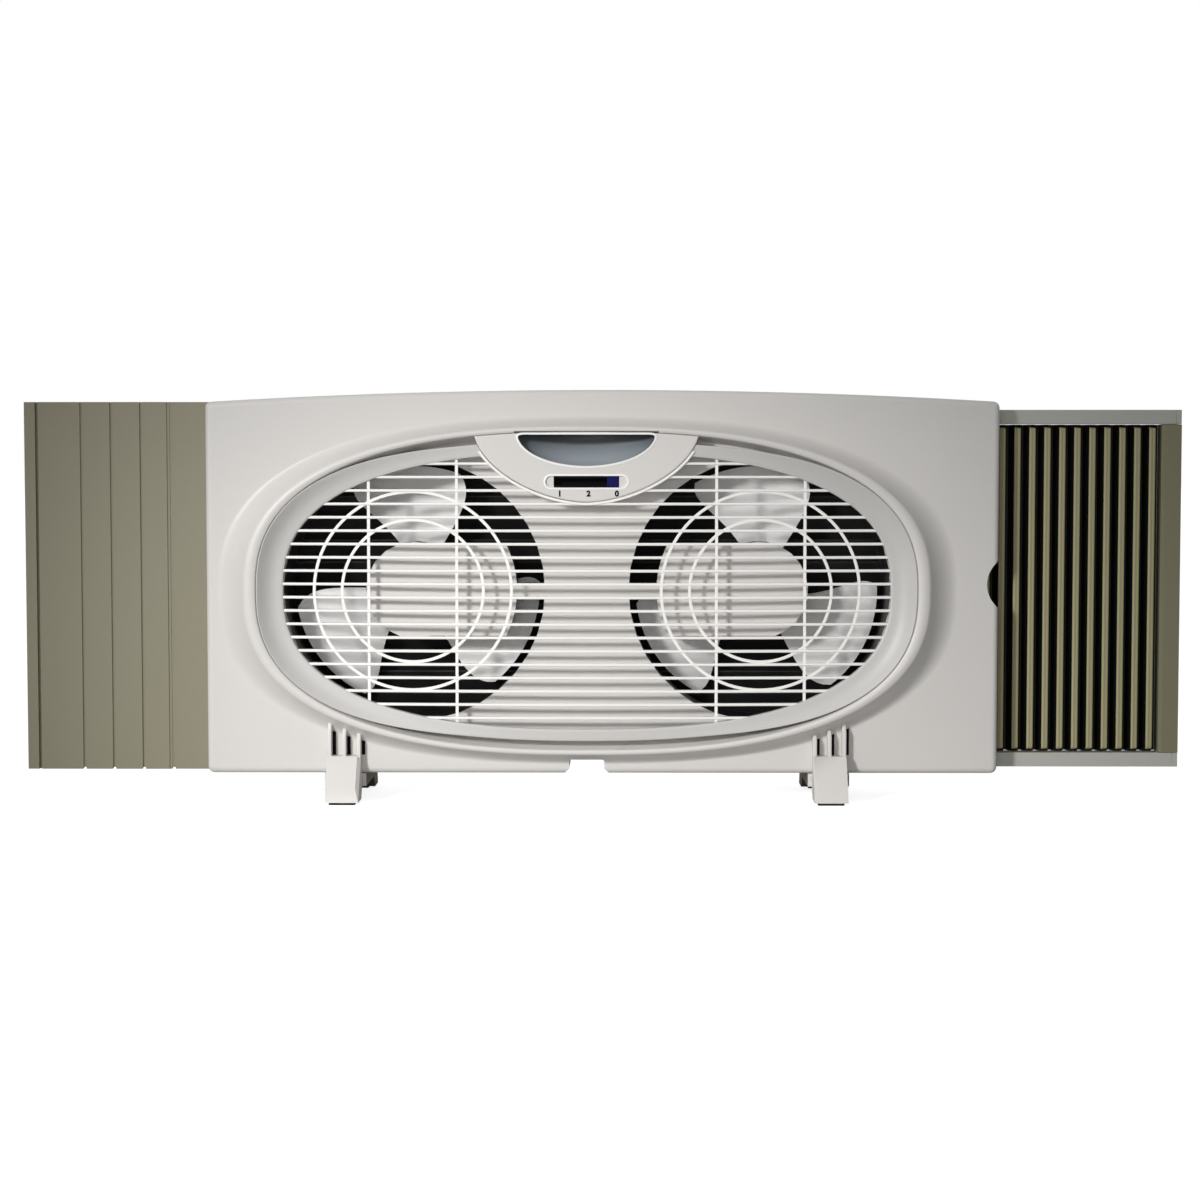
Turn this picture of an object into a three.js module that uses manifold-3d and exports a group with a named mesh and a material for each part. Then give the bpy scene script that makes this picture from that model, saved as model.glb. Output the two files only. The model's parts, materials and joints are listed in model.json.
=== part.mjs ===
// A twin window fan with a bar grille in a raised oval bezel, a slide-out pleated side curtain,
// a cut-to-fit spacer panel and two clip-on feet.
// Millimetres. X runs to the right as seen from the room, Y out of the window, Z up.
// The origin is on the sill, under the middle of the opened fan.
import * as THREE from 'three';
import { mergeVertices } from 'three/addons/utils/BufferGeometryUtils.js';
import Module from 'manifold-3d';

const wasm = await Module();
wasm.setup();

// ---- Clearances
const FIT = 0.3; // between pieces that touch
const RUNNING = 0.5; // beside sliding pieces
const OVERSHOOT = 5; // how far a cutting tool runs past what it cuts

// ---- Housing
const HOUSING_WIDTH = 667;
const HOUSING_LIFT = 23.5; // sill to the housing's underside
const ARCH_RISE = 10;
const FRONT_DEPTH = 34; // split plane to the front face
const REAR_DEPTH = 30; // split plane to the back face
const WALL = 2.5;
const CORNER_RADIUS = 5.5;
const EDGE_ROUND = 4.5;
const CORD_NOTCH_WIDTH = 29.5;
const CORD_NOTCH_HEIGHT = 12;
const THUMB_RADIUS = 25;
const THUMB_DEPTH = 9.8;
const THUMB_LIFT = 5; // above the fan axes

// ---- Oval bezel: superellipses about the middle of the two fans
const OVAL_X = -12.7;
const OVAL_POWER = 2.5;
const OVAL_SIDES = 56;
const FLANK_MARGIN = 10.1; // between the flank's foot and the housing's nearer end
const FLANK_HALF_HEIGHT = 147;
const FLANK_FOOT_MARGIN = 7.8; // between the flank's foot and the housing's underside
const FLANK_TOP_MARGIN = 11.2; // between the flank and the height of the housing's ends
const FLANK_RUN = [23.7, 9.5]; // foot to crest, at the ends and at the top
const CREST_BAND = [10, 4.5]; // width of the crest at the ends and at the top
const CREST_HEIGHT = 18;
const CREST_SOFTENING = 1.2;
const FLANK_CURVE = 1.8; // over 1, the flank is steepest beside the crest
const WALL_DRAFT = [5, 4.5]; // how much the bezel's inner wall closes in
const FLANK_STEPS = [0, 0.35, 0.7, 1];

// ---- Grille
const GRILLE_FRAME = [13, 9]; // width of the frame at the ends and at the top
const GRILLE_GAP = 4; // frame to the foot of the bezel's wall
const GRILLE_FRAME_DEPTH = 6.4;
const GRILLE_BOW = 12; // how far its middle stands forward of its ends
const GRILLE_END_SETBACK = 3; // its ends behind the front face
const BAR_END_GAP = 13.6; // first and last bar to the middle of the frame
const BAR_COUNT = 20;
const BAR_HEIGHT = 2.4;
const BAR_DEPTH = 4.8;
const BAR_STEPS = 4;
const RIB_WIDTH = 2.4;
const RIB_DEPTH = 2;
const RIB_OFFSET = 37; // of each upright rib from its fan's axis
const RING_RADII = [59.4, 83];
const RING_WIDTH = 2.6;
const RING_SIDES = 24;
const LEG_WIDTH = 12;
const LEG_ANGLES = [0, 62, 118, 180, 242, 298];

// ---- Fans and ducts
const FAN_SPACING = 291;
const DUCT_RADIUS = 110.3;
const DUCT_WALL = 2.5;
const DUCT_SIDES = 36;
const BAFFLE_OVERLAP = [18, 9.5]; // past the foot of the bezel's wall
const POD_RADIUS = 40.8; // the round front of the motor pod
const POD_ARM_REACH = 86.7;
const POD_ARM_HALF_HEIGHT = 38.6;
const POD_DEPTH = 26;
const BRIDGE_HEIGHT = 10.6;
const ROUND_SIDES = 20;
const SMALL_SIDES = 12;

// ---- Motor, shaft and impeller
const MOTOR_RADIUS = 33;
const MOTOR_NOSE_RADIUS = 12;
const MOTOR_NOSE_LENGTH = 4;
const BRACKET_THICKNESS = 2.5;
const BUSH_RADIUS = 7;
const BUSH_LENGTH = 7;
const SHAFT_RADIUS = 4;
const SHAFT_BURIED = 16; // length inside the motor
const MOTOR_SCREW_RADIUS = 1.8;
const MOTOR_SCREW_LENGTH = 9;
const MOTOR_SCREW_REACH = 62; // from the fan axis, along the arm
const MOTOR_SCREW_SPREAD = 26; // either side of the arm's middle
const BLADE_COUNT = 3;
const BLADE_TIP_GAP = 6;
const BLADE_THICKNESS = 2;
const BLADE_SPAN_DEGREES = 66;
const BLADE_SWEEP_DEGREES = 12;
const BLADE_RISE = 19; // front to back, from one edge of the blade to the other
const BLADE_CAMBER = 3;
const BLADE_ROWS = 5;
const BLADE_COLUMNS = 6;
const BLADE_PHASES = { left: -36, right: 82 }; // degrees from +X towards +Z
const HUB_RADIUS = 25;
const HUB_LENGTH = 23;
const HUB_WALL = 3;
const HUB_SLEEVE = 4; // wall round the shaft
const HUB_GAP = 3; // bracket to hub
const NUT_RADIUS = 9;
const NUT_LENGTH = 4;
const SHAFT_END_INSET = 1; // the shaft ends inside its nut

// ---- Rear louvres
const LOUVRE_PITCH = 19;
const LOUVRE_SLATS = 12;
const LOUVRE_DEPTH = 15;
const LOUVRE_OVERLAP = 2;
const LOUVRE_THICKNESS = 1.8;
const LOUVRE_FLANGE = 6;
const LOUVRE_FLANGE_THICKNESS = 2;
const LOUVRE_WALL = 2.7;

// ---- Control panel, handle and speed switch
const PANEL_HALF_WIDTH = 94.3;
const PANEL_HEIGHT = 60.6;
const PANEL_TOP_MARGIN = 2; // past the bezel's rim, which ends the panel
const PANEL_POWER = 1.75;
const PANEL_PROUD = 0.6; // of the bezel's crest
const PANEL_WALL = 2.3;
const PANEL_SIDES = 16;
const PANEL_SKIRT_TOP = 11; // the skirt starts this far below the panel's top
const GRIP_HALF_WIDTH = 58;
const GRIP_HEIGHT = 27.4;
const GRIP_TOP_DROP = 3.8; // below the panel's top
const GRIP_DEPTH = 26;
const GRIP_CORNER = 3;
const SCOOP_WALL = 1.8;
const PILL_WIDTH = 70.7;
const PILL_HEIGHT = 12.3;
const PILL_DROP = 43.7; // below the panel's top
const PILL_DEPTH = 1.3;
const WINDOW_WIDTH = 54.5;
const WINDOW_HEIGHT = 9.5;
const KNOB_WIDTH = 9.6;
const KNOB_PROUD = 0.6;
const KNOB_STEM = 4;
const KNOB_STEM_LENGTH = 8;
const SWITCH_DEPTH = 11;
const SWITCH_HEIGHT = 16;
const SWITCH_WALL = 2;

// ---- Side curtain on its sliding frame
const FRAME_REACH = 157.5; // housing end to the end post's outer face
const RAIL_HEIGHT = 12;
const RAIL_DEPTH = 18;
const RAIL_TOP_DROP = 6.2; // below the housing's corner height
const RAIL_ENGAGED = 78; // length inside the housing
const POST_WIDTH = 16.6;
const POST_DEPTH = 20;
const PLEAT_PITCH = 12.7;
const PLEAT_COUNT = 13;
const PLEAT_DEPTH = 15;
const PLEAT_CREST = 5.2;
const PLEAT_VALLEY = 1.6;
const PLEAT_SHEET = 0.9;
const PLEAT_LEAN = 0.55; // share of the sheet that its steep walls are moved across
const ANCHOR_WIDTH = 4;
const TRACK_THICKNESS = 2;
const TRACK_LENGTH = 150;

// ---- Spacer panel
const SPACER_REACH = 157.5; // housing end to the panel's outer edge
const SPACER_THICKNESS = 5;
const SPACER_SETBACK = 22; // behind the front face
const SPACER_TONGUE = 12;
const SPACER_TONGUE_INSET = 5;
const SPACER_EDGE_STRIP = 9.3;
const SPACER_EDGE_GROOVE = 2.4;
const SPACER_EDGE_GROOVE_DEPTH = 3.4;
const SPACER_STEP_WIDTH = 36; // stands back beside the housing
const SPACER_STEP_DEPTH = 1;
const SCORE_COUNT = 4;
const SCORE_PITCH = 25.4;
const SCORE_FIRST = 47.4; // from the outer edge
const SCORE_WIDTH = 2;
const SCORE_DEPTH = 1.5;

// ---- Feet
const FOOT_INSET = 106.5; // from the end of the bezel's flank
const FOOT_WIDTH = 28;
const FOOT_BASE_WIDTH = 35;
const FOOT_REACH = 65; // from the split plane to the toe and to the heel
const FOOT_LEDGE_LIFT = 15.5; // ledge above the housing's underside
const FOOT_LEDGE_DEPTH = 10;
const FOOT_BREAK_HEIGHT = 13.7;
const FOOT_HEEL_LIFT = 22; // rear hook above the housing's underside
const FOOT_ARCH_HEIGHT = 9;
const FOOT_ARCH_REACH = 40;
const FOOT_ARCH_SLOPE = 8;
const FOOT_TIP_SLOPE = 4;
const FOOT_BASE_SETBACK = 2; // the wide base starts behind the toe
const FIN_COUNT = 3;
const FIN_GAP = 3;
const FIN_DEPTH = 9;
const FIN_LIFT = 44.5; // tallest fin above the housing's underside
const FIN_DROP = 3.8; // from each fin to the next one inward
const PAD_THICKNESS = 2;
const PAD_LENGTH = 16;
const PAD_INSET = 3;

// ---- Rear screws and cord gland
const BOSS_RADIUS = 4.5;
const SCREW_RADIUS = 1.9;
const SCREW_HEAD_HEIGHT = 2.2;
const SCREW_BITE = 10; // length in the front housing
const SCREW_SIDES = 8;
const SCREW_INSET = [58.5, 36.5]; // corner screws from the housing's right end and its top
const SCREW_INSET_LEFT = 33.5;
const TOP_SCREW_DROP = 12; // below the arch
const GLAND_LIFT = 26; // above the housing's underside
const GLAND_RADIUS = 5;
const GLAND_BORE = 3;
const GLAND_FLANGE = 8;
const GLAND_FLANGE_THICKNESS = 3;
const GLAND_CHAMFER = 1;
const GLAND_TAIL = 2; // past the rear wall, inside the housing

// ---- Places worked out from the sizes above
const FACE_Y = -FRONT_DEPTH;
const BACK_Y = REAR_DEPTH;
const HALF_WIDTH = HOUSING_WIDTH / 2;
const AXIS_Z = HOUSING_LIFT + FLANK_FOOT_MARGIN + FLANK_HALF_HEIGHT;
const CORNER_Z = AXIS_Z + FLANK_HALF_HEIGHT + FLANK_TOP_MARGIN;
const PEAK_Z = CORNER_Z + ARCH_RISE;
const ARCH_RADIUS = (HALF_WIDTH ** 2 + ARCH_RISE ** 2) / (2 * ARCH_RISE);
const CREST_Y = FACE_Y - CREST_HEIGHT;
const FLANK_HALF_WIDTH = HALF_WIDTH - Math.abs(OVAL_X) - FLANK_MARGIN;
const CREST_HALF_WIDTH = FLANK_HALF_WIDTH - FLANK_RUN[0];
const CREST_HALF_HEIGHT = FLANK_HALF_HEIGHT - FLANK_RUN[1];
const FACE_BACK_Y = FACE_Y + WALL;
const BAFFLE_Y = FACE_BACK_Y + FIT;
const RIM = [CREST_HALF_WIDTH - CREST_BAND[0], CREST_HALF_HEIGHT - CREST_BAND[1]];
const RIM_FOOT = [RIM[0] - WALL_DRAFT[0], RIM[1] - WALL_DRAFT[1]];
const GRILLE_OUTER = [RIM_FOOT[0] - GRILLE_GAP, RIM_FOOT[1] - GRILLE_GAP];
const GRILLE_INNER = [GRILLE_OUTER[0] - GRILLE_FRAME[0], GRILLE_OUTER[1] - GRILLE_FRAME[1]];
const GRILLE_MIDDLE = [0, 1].map((k) => (GRILLE_OUTER[k] + GRILLE_INNER[k]) / 2);
const BAR_PITCH = (2 * (GRILLE_MIDDLE[1] - BAR_END_GAP)) / (BAR_COUNT - 1);
const FAN_X = { left: OVAL_X - FAN_SPACING / 2, right: OVAL_X + FAN_SPACING / 2 };
const INWARD = { left: 1, right: -1 };
const POD_BACK_Y = BAFFLE_Y + POD_DEPTH;
const BRACKET_Y = POD_BACK_Y + FIT;
const NOSE_Y = POD_BACK_Y + MOTOR_NOSE_LENGTH;
const HUB_Y = BRACKET_Y + BRACKET_THICKNESS + HUB_GAP;
const TIP_RADIUS = DUCT_RADIUS - BLADE_TIP_GAP;
const PANEL_TOP_Z = AXIS_Z + RIM[1] + PANEL_TOP_MARGIN;
const PANEL_Y = CREST_Y - PANEL_PROUD;
const PILL_Z = PANEL_TOP_Z - PILL_DROP;
const GRIP_TOP_Z = PANEL_TOP_Z - GRIP_TOP_DROP;
const WINDOW_Y = PANEL_Y + PANEL_WALL;
const KNOB_X = OVAL_X + WINDOW_WIDTH / 2 - KNOB_WIDTH / 2 - RUNNING;
const FRAME_END_X = HALF_WIDTH + FRAME_REACH;
const POST_X = FRAME_END_X - POST_WIDTH;
const RAIL_BOTTOM_Z = HOUSING_LIFT + WALL + RUNNING;
const RAIL_TOP_Z = CORNER_Z - RAIL_TOP_DROP;
const CURTAIN_X = POST_X - FIT - PLEAT_PITCH * PLEAT_COUNT;
const SPACER_X = -HALF_WIDTH - SPACER_REACH;
const SPACER_Y = FACE_Y + SPACER_SETBACK;
const SPACER_LOW_Z = HOUSING_LIFT + RUNNING;
const SPACER_HIGH_Z = CORNER_Z + RUNNING;
const FOOT_TOP_Z = HOUSING_LIFT - FIT;
const SCREW_PLACES = {
  upper_right: [HALF_WIDTH - SCREW_INSET[0], CORNER_Z - SCREW_INSET[1]],
  lower_right: [HALF_WIDTH - SCREW_INSET[0], HOUSING_LIFT + SCREW_INSET[1]],
  upper_left: [-HALF_WIDTH + SCREW_INSET_LEFT, CORNER_Z - SCREW_INSET[1]],
  lower_left: [-HALF_WIDTH + SCREW_INSET_LEFT, HOUSING_LIFT + SCREW_INSET[1]],
  top: [OVAL_X, PEAK_Z - TOP_SCREW_DROP]
};

// ---- Colours
const COLOURS = {
  housing: 0xd2cec8,
  grille: 0xddd9d4,
  duct: 0xc4c1ba,
  scoop: 0x8e959b,
  panel: 0xcfcbc5,
  dark: 0x1b1b1c,
  knob: 0x14163a,
  taupe: 0x8d8874,
  curtain: 0x8a8566,
  post: 0x706d5a,
  rubber: 0x26221f,
  steel: 0xa9abad,
  brass: 0xb08d4a
};

// ---- Solids: meshes that can be joined and cut

function volumeOf(positions, index) {
  const [a, b, c] = [0, 1, 2].map(() => new THREE.Vector3());
  let total = 0;
  for (let k = 0; k < index.length; k += 3) {
    a.fromArray(positions, 3 * index[k]);
    b.fromArray(positions, 3 * index[k + 1]);
    c.fromArray(positions, 3 * index[k + 2]);
    total += a.dot(b.cross(c)) / 6;
  }
  return total;
}

// A closed geometry as a solid, with its faces pointing out whichever way it was wound.
function solid(geometry) {
  const bare = geometry.clone();
  bare.deleteAttribute('normal');
  bare.deleteAttribute('uv');
  const merged = mergeVertices(bare);
  const positions = merged.attributes.position.array;
  const index = [];
  for (let k = 0; k < merged.index.count; k += 3) {
    const [a, b, c] = merged.index.array.slice(k, k + 3);
    if (a !== b && b !== c && c !== a) index.push(a, b, c);
  }
  if (volumeOf(positions, index) < 0) index.reverse();
  return new wasm.Manifold(
    new wasm.Mesh({
      numProp: 3,
      vertProperties: new Float32Array(positions),
      triVerts: new Uint32Array(index)
    })
  );
}

function join(...solids) {
  return solids.reduce((whole, next) => whole.add(next));
}

function cut(base, ...tools) {
  return tools.reduce((rest, tool) => rest.subtract(tool), base);
}

function piece(name, body, colour, roughness = 0.55, metalness = 0) {
  const mesh = body.getMesh();
  const geometry = new THREE.BufferGeometry();
  geometry.setAttribute('position', new THREE.BufferAttribute(mesh.vertProperties, 3));
  geometry.setIndex(new THREE.BufferAttribute(mesh.triVerts, 1));
  geometry.computeVertexNormals();
  const material = new THREE.MeshStandardMaterial({ color: colour, roughness, metalness });
  const result = new THREE.Mesh(geometry, material);
  result.name = name;
  return result;
}

// A block given by its two ends along each axis.
function block([x0, x1], [y0, y1], [z0, z1]) {
  const box = new THREE.BoxGeometry(x1 - x0, y1 - y0, z1 - z0);
  return solid(box.translate((x0 + x1) / 2, (y0 + y1) / 2, (z0 + z1) / 2));
}

// The shape's outline as straight steps, without the doubled points where its curves meet.
function stepped(shape, curveSegments) {
  const points = shape.getPoints(curveSegments);
  const apart = (a, b) => a.distanceTo(b) > 0.001;
  const kept = points.filter((point, k) => apart(point, points[(k + 1) % points.length]));
  return new THREE.Shape(kept);
}

// A shape drawn in X and Z, extruded along Y.
function prism(shape, [y0, y1], curveSegments = 8) {
  const slab = new THREE.ExtrudeGeometry(stepped(shape, curveSegments), {
    depth: y1 - y0,
    bevelEnabled: false
  });
  return solid(slab.rotateX(Math.PI / 2).translate(0, y1, 0));
}

// The same with a rounded edge round its front face.
function roundedPrism(shape, [y0, y1], round) {
  const slab = new THREE.ExtrudeGeometry(stepped(shape, 4), {
    depth: y1 - y0,
    bevelThickness: round,
    bevelSize: round,
    bevelOffset: -round,
    bevelSegments: 3
  });
  const whole = solid(slab.rotateX(Math.PI / 2).translate(0, y1 + round, 0));
  const spread = HOUSING_WIDTH;
  return whole.subtract(block([-spread, spread], [y1, y1 + 3 * round], [-spread, spread]));
}

// A round piece about a fan axis or any line along Y: the profile lists radius and Y.
function turned(profile, x, z, sides = ROUND_SIDES) {
  const points = profile.map(([radius, y]) => new THREE.Vector2(radius, y));
  return solid(new THREE.LatheGeometry(points, sides).translate(x, 0, z));
}

function rod(radius, [y0, y1], x, z, sides = ROUND_SIDES) {
  return turned([[0, y0], [radius, y0], [radius, y1], [0, y1]], x, z, sides);
}

function tube(inner, outer, [y0, y1], x, z, sides = ROUND_SIDES) {
  const profile = [[inner, y0], [outer, y0], [outer, y1], [inner, y1], [inner, y0]];
  return turned(profile, x, z, sides);
}

// A skin through a row of rings with an even number of points each. A closed loft joins its last
// ring to its first, and an open one has both ends capped.
function loft(rings, closed) {
  const count = rings[0].length;
  const index = [];
  const spans = closed ? rings.length : rings.length - 1;
  for (let r = 0; r < spans; r++) {
    const near = r * count;
    const far = ((r + 1) % rings.length) * count;
    for (let k = 0; k < count; k++) {
      const next = (k + 1) % count;
      index.push(near + k, near + next, far + next, near + k, far + next, far + k);
    }
  }
  if (!closed) {
    const last = (rings.length - 1) * count;
    for (let k = 0; k < count / 2 - 1; k++) {
      const [a, b, c, d] = [k, k + 1, count - 2 - k, count - 1 - k];
      index.push(b, a, d, b, d, c);
      index.push(last + a, last + b, last + c, last + a, last + c, last + d);
    }
  }
  const geometry = new THREE.BufferGeometry();
  geometry.setAttribute('position', new THREE.Float32BufferAttribute(rings.flat(2), 3));
  geometry.setIndex(index);
  return solid(geometry);
}

function range(count) {
  return Array.from({ length: count }, (_, k) => k);
}

// ---- Outlines

// A point of the superellipse about the middle of the fans.
function ovalPoint([halfWidth, halfHeight], angle) {
  const [c, s] = [Math.cos(angle), Math.sin(angle)];
  return [
    OVAL_X + halfWidth * Math.sign(c) * Math.abs(c) ** (2 / OVAL_POWER),
    AXIS_Z + halfHeight * Math.sign(s) * Math.abs(s) ** (2 / OVAL_POWER)
  ];
}

// Half the oval's width at a height above its middle.
function ovalReach([halfWidth, halfHeight], height) {
  const share = Math.abs(height / halfHeight) ** OVAL_POWER;
  return halfWidth * (1 - share) ** (1 / OVAL_POWER);
}

function ovalShape(size) {
  const angles = range(OVAL_SIDES).map((k) => (2 * Math.PI * k) / OVAL_SIDES);
  return new THREE.Shape(angles.map((angle) => new THREE.Vector2(...ovalPoint(size, angle))));
}

// The housing seen from the front, drawn in by an inset all round: straight sides and bottom,
// an arched top and small round corners that run smoothly into both.
function housingOutline(inset) {
  const half = HALF_WIDTH - inset;
  const radius = ARCH_RADIUS - inset;
  const middle = PEAK_Z - ARCH_RADIUS;
  const corner = Math.max(CORNER_RADIUS - inset, 1);
  const x = half - corner;
  const low = HOUSING_LIFT + inset + corner;
  const high = middle + Math.sqrt((radius - corner) ** 2 - x ** 2);
  const turn = Math.atan2(high - middle, x);
  const shape = new THREE.Shape();
  shape.absarc(x, low, corner, -Math.PI / 2, 0, false);
  shape.absarc(x, high, corner, 0, turn, false);
  shape.absarc(0, middle, radius, turn, Math.PI - turn, false);
  shape.absarc(-x, high, corner, Math.PI - turn, Math.PI, false);
  shape.absarc(-x, low, corner, Math.PI, (3 * Math.PI) / 2, false);
  return shape;
}

// A D lying on its back: a straight top and a rounded belly.
function bellyOutline(halfWidth, height, topZ, power, grow) {
  const wide = halfWidth + grow;
  const deep = height + grow;
  const points = range(PANEL_SIDES + 1).map((k) => {
    const angle = Math.PI * (1 + k / PANEL_SIDES);
    const [c, s] = [Math.cos(angle), Math.sin(angle)];
    const x = OVAL_X + wide * Math.sign(c) * Math.abs(c) ** (2 / power);
    return new THREE.Vector2(x, topZ - deep * Math.abs(s) ** (2 / power));
  });
  return new THREE.Shape(points);
}

function panelOutline(grow) {
  return bellyOutline(PANEL_HALF_WIDTH, PANEL_HEIGHT, PANEL_TOP_Z, PANEL_POWER, grow);
}

// The handle's mouth: half an ellipse with its two upper corners rounded.
function gripOutline() {
  const shape = new THREE.Shape();
  const wide = GRIP_HALF_WIDTH;
  const start = Math.asin(GRIP_CORNER / GRIP_HEIGHT);
  const startX = wide * Math.cos(start);
  shape.moveTo(OVAL_X + wide - 2 * GRIP_CORNER, GRIP_TOP_Z);
  shape.lineTo(OVAL_X - wide + 2 * GRIP_CORNER, GRIP_TOP_Z);
  shape.quadraticCurveTo(OVAL_X - wide, GRIP_TOP_Z, OVAL_X - startX, GRIP_TOP_Z - GRIP_CORNER);
  shape.absellipse(
    OVAL_X, GRIP_TOP_Z, wide, GRIP_HEIGHT, Math.PI + start, 2 * Math.PI - start, false, 0
  );
  shape.quadraticCurveTo(OVAL_X + wide, GRIP_TOP_Z, OVAL_X + wide - 2 * GRIP_CORNER, GRIP_TOP_Z);
  return shape;
}

// A level slot with round ends.
function pillOutline(width, height, x, z) {
  const end = height / 2;
  const shape = new THREE.Shape();
  shape.absarc(x - width / 2 + end, z, end, Math.PI / 2, (3 * Math.PI) / 2, false);
  shape.absarc(x + width / 2 - end, z, end, -Math.PI / 2, Math.PI / 2, false);
  return shape;
}

// ---- Bezel

// The flank climbs from the front face to the crest, slowly at first and then steeply.
function flankSections(grow) {
  return FLANK_STEPS.map((u) => ({
    size: [
      FLANK_HALF_WIDTH + (CREST_HALF_WIDTH - FLANK_HALF_WIDTH) * u + grow,
      FLANK_HALF_HEIGHT + (CREST_HALF_HEIGHT - FLANK_HALF_HEIGHT) * u + grow
    ],
    y: FACE_Y - (CREST_HEIGHT - CREST_SOFTENING) * u ** FLANK_CURVE - grow
  }));
}

function bezelRing() {
  const middle = [0, 1].map((k) => RIM[k] + CREST_BAND[k] / 2);
  const under = CREST_Y + CREST_SOFTENING + WALL;
  const inside = flankSections(0)
    .filter(({ y }, k) => k % 2 === 0 && y < FACE_Y)
    .reverse()
    .map(({ size, y }) => ({ size: [size[0] - WALL, size[1] - WALL / 2], y: y + WALL }));
  const sections = [
    ...flankSections(0),
    { size: middle, y: CREST_Y },
    { size: RIM, y: CREST_Y + CREST_SOFTENING },
    { size: RIM_FOOT, y: FACE_BACK_Y },
    { size: [RIM_FOOT[0] + WALL, RIM_FOOT[1] + WALL / 2], y: FACE_BACK_Y },
    { size: [RIM[0] + WALL, RIM[1] + WALL / 2], y: under },
    ...inside,
    { size: [FLANK_HALF_WIDTH - WALL, FLANK_HALF_HEIGHT - WALL / 2], y: FACE_Y + 0.8 * WALL }
  ];
  const rings = range(OVAL_SIDES).map((k) => {
    const angle = (2 * Math.PI * k) / OVAL_SIDES;
    return sections.map(({ size, y }) => {
      const [x, z] = ovalPoint(size, angle);
      return [x, y, z];
    });
  });
  return loft(rings, true);
}

// All the room that the bezel takes up, for pieces that stand beside it.
function bezelRoom(gap) {
  const rings = flankSections(gap).map(({ size, y }) =>
    range(OVAL_SIDES).map((k) => {
      const [x, z] = ovalPoint(size, (2 * Math.PI * k) / OVAL_SIDES);
      return [x, y, z];
    })
  );
  return loft([rings[0].map(([x, , z]) => [x, 0, z]), ...rings], false);
}

// ---- Housing shells

// What both shells give way to: the cord under the sash and the curtain's frame at the right end.
function cordNotch() {
  const half = CORD_NOTCH_WIDTH / 2;
  const top = HOUSING_LIFT + CORD_NOTCH_HEIGHT;
  const reach = FRONT_DEPTH + CREST_HEIGHT;
  return block([OVAL_X - half, OVAL_X + half], [-reach, reach], [0, top]);
}

function notchSurround([y0, y1]) {
  const half = CORD_NOTCH_WIDTH / 2 + WALL;
  const top = HOUSING_LIFT + CORD_NOTCH_HEIGHT + WALL;
  const bottom = HOUSING_LIFT + WALL / 2;
  return block([OVAL_X - half, OVAL_X + half], [y0, y1], [bottom, top]);
}

function frameMouth() {
  const half = POST_DEPTH / 2 + RUNNING;
  return block(
    [HALF_WIDTH - 2 * WALL, HALF_WIDTH + OVERSHOOT],
    [-half, half],
    [RAIL_BOTTOM_Z - RUNNING, RAIL_TOP_Z + RUNNING]
  );
}

// A channel behind the slot in the left end, which holds the spacer's tongue.
function tongueRoom() {
  return block(
    [-HALF_WIDTH - OVERSHOOT, -HALF_WIDTH + SPACER_TONGUE + FIT],
    [SPACER_Y - FIT, SPACER_Y + SPACER_THICKNESS + FIT],
    [SPACER_LOW_Z + SPACER_TONGUE_INSET - FIT, SPACER_HIGH_Z - SPACER_TONGUE_INSET + FIT]
  );
}

function tongueChannel() {
  return block(
    [-HALF_WIDTH + WALL / 2, -HALF_WIDTH + SPACER_TONGUE + WALL],
    [SPACER_Y - FIT - WALL, SPACER_Y + SPACER_THICKNESS + FIT + WALL],
    [SPACER_LOW_Z + SPACER_TONGUE_INSET - WALL, SPACER_HIGH_Z - SPACER_TONGUE_INSET + WALL]
  );
}

function frontHousing() {
  const outer = roundedPrism(housingOutline(0), [FACE_Y, 0], EDGE_ROUND);
  const hollow = prism(housingOutline(WALL), [FACE_BACK_Y, OVERSHOOT], 4);
  const mouth = prism(
    ovalShape([FLANK_HALF_WIDTH - WALL / 2, FLANK_HALF_HEIGHT - WALL / 2]),
    [FACE_Y - OVERSHOOT, FACE_BACK_Y + OVERSHOOT]
  );
  const bosses = Object.values(SCREW_PLACES).map(([x, z]) =>
    rod(BOSS_RADIUS, [FACE_BACK_Y - WALL / 2, -FIT], x, z, SCREW_SIDES)
  );
  const pilots = Object.values(SCREW_PLACES).map(([x, z]) =>
    rod(SCREW_RADIUS + FIT, [-SCREW_BITE - FIT, OVERSHOOT], x, z, SCREW_SIDES)
  );
  const thumb = rod(
    THUMB_RADIUS,
    [FACE_Y - OVERSHOOT, -POST_DEPTH / 2 - RUNNING],
    HALF_WIDTH + THUMB_RADIUS - THUMB_DEPTH,
    AXIS_Z + THUMB_LIFT
  );
  const shell = cut(outer, hollow, mouth);
  const filled = join(
    shell, bezelRing(), notchSurround([FACE_Y + WALL / 2, 0]), tongueChannel(), ...bosses
  );
  return cut(
    filled, cordNotch(), frameMouth(), tongueRoom(), thumb, scoopRoom(SCOOP_WALL + FIT), ...pilots
  );
}

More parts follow.
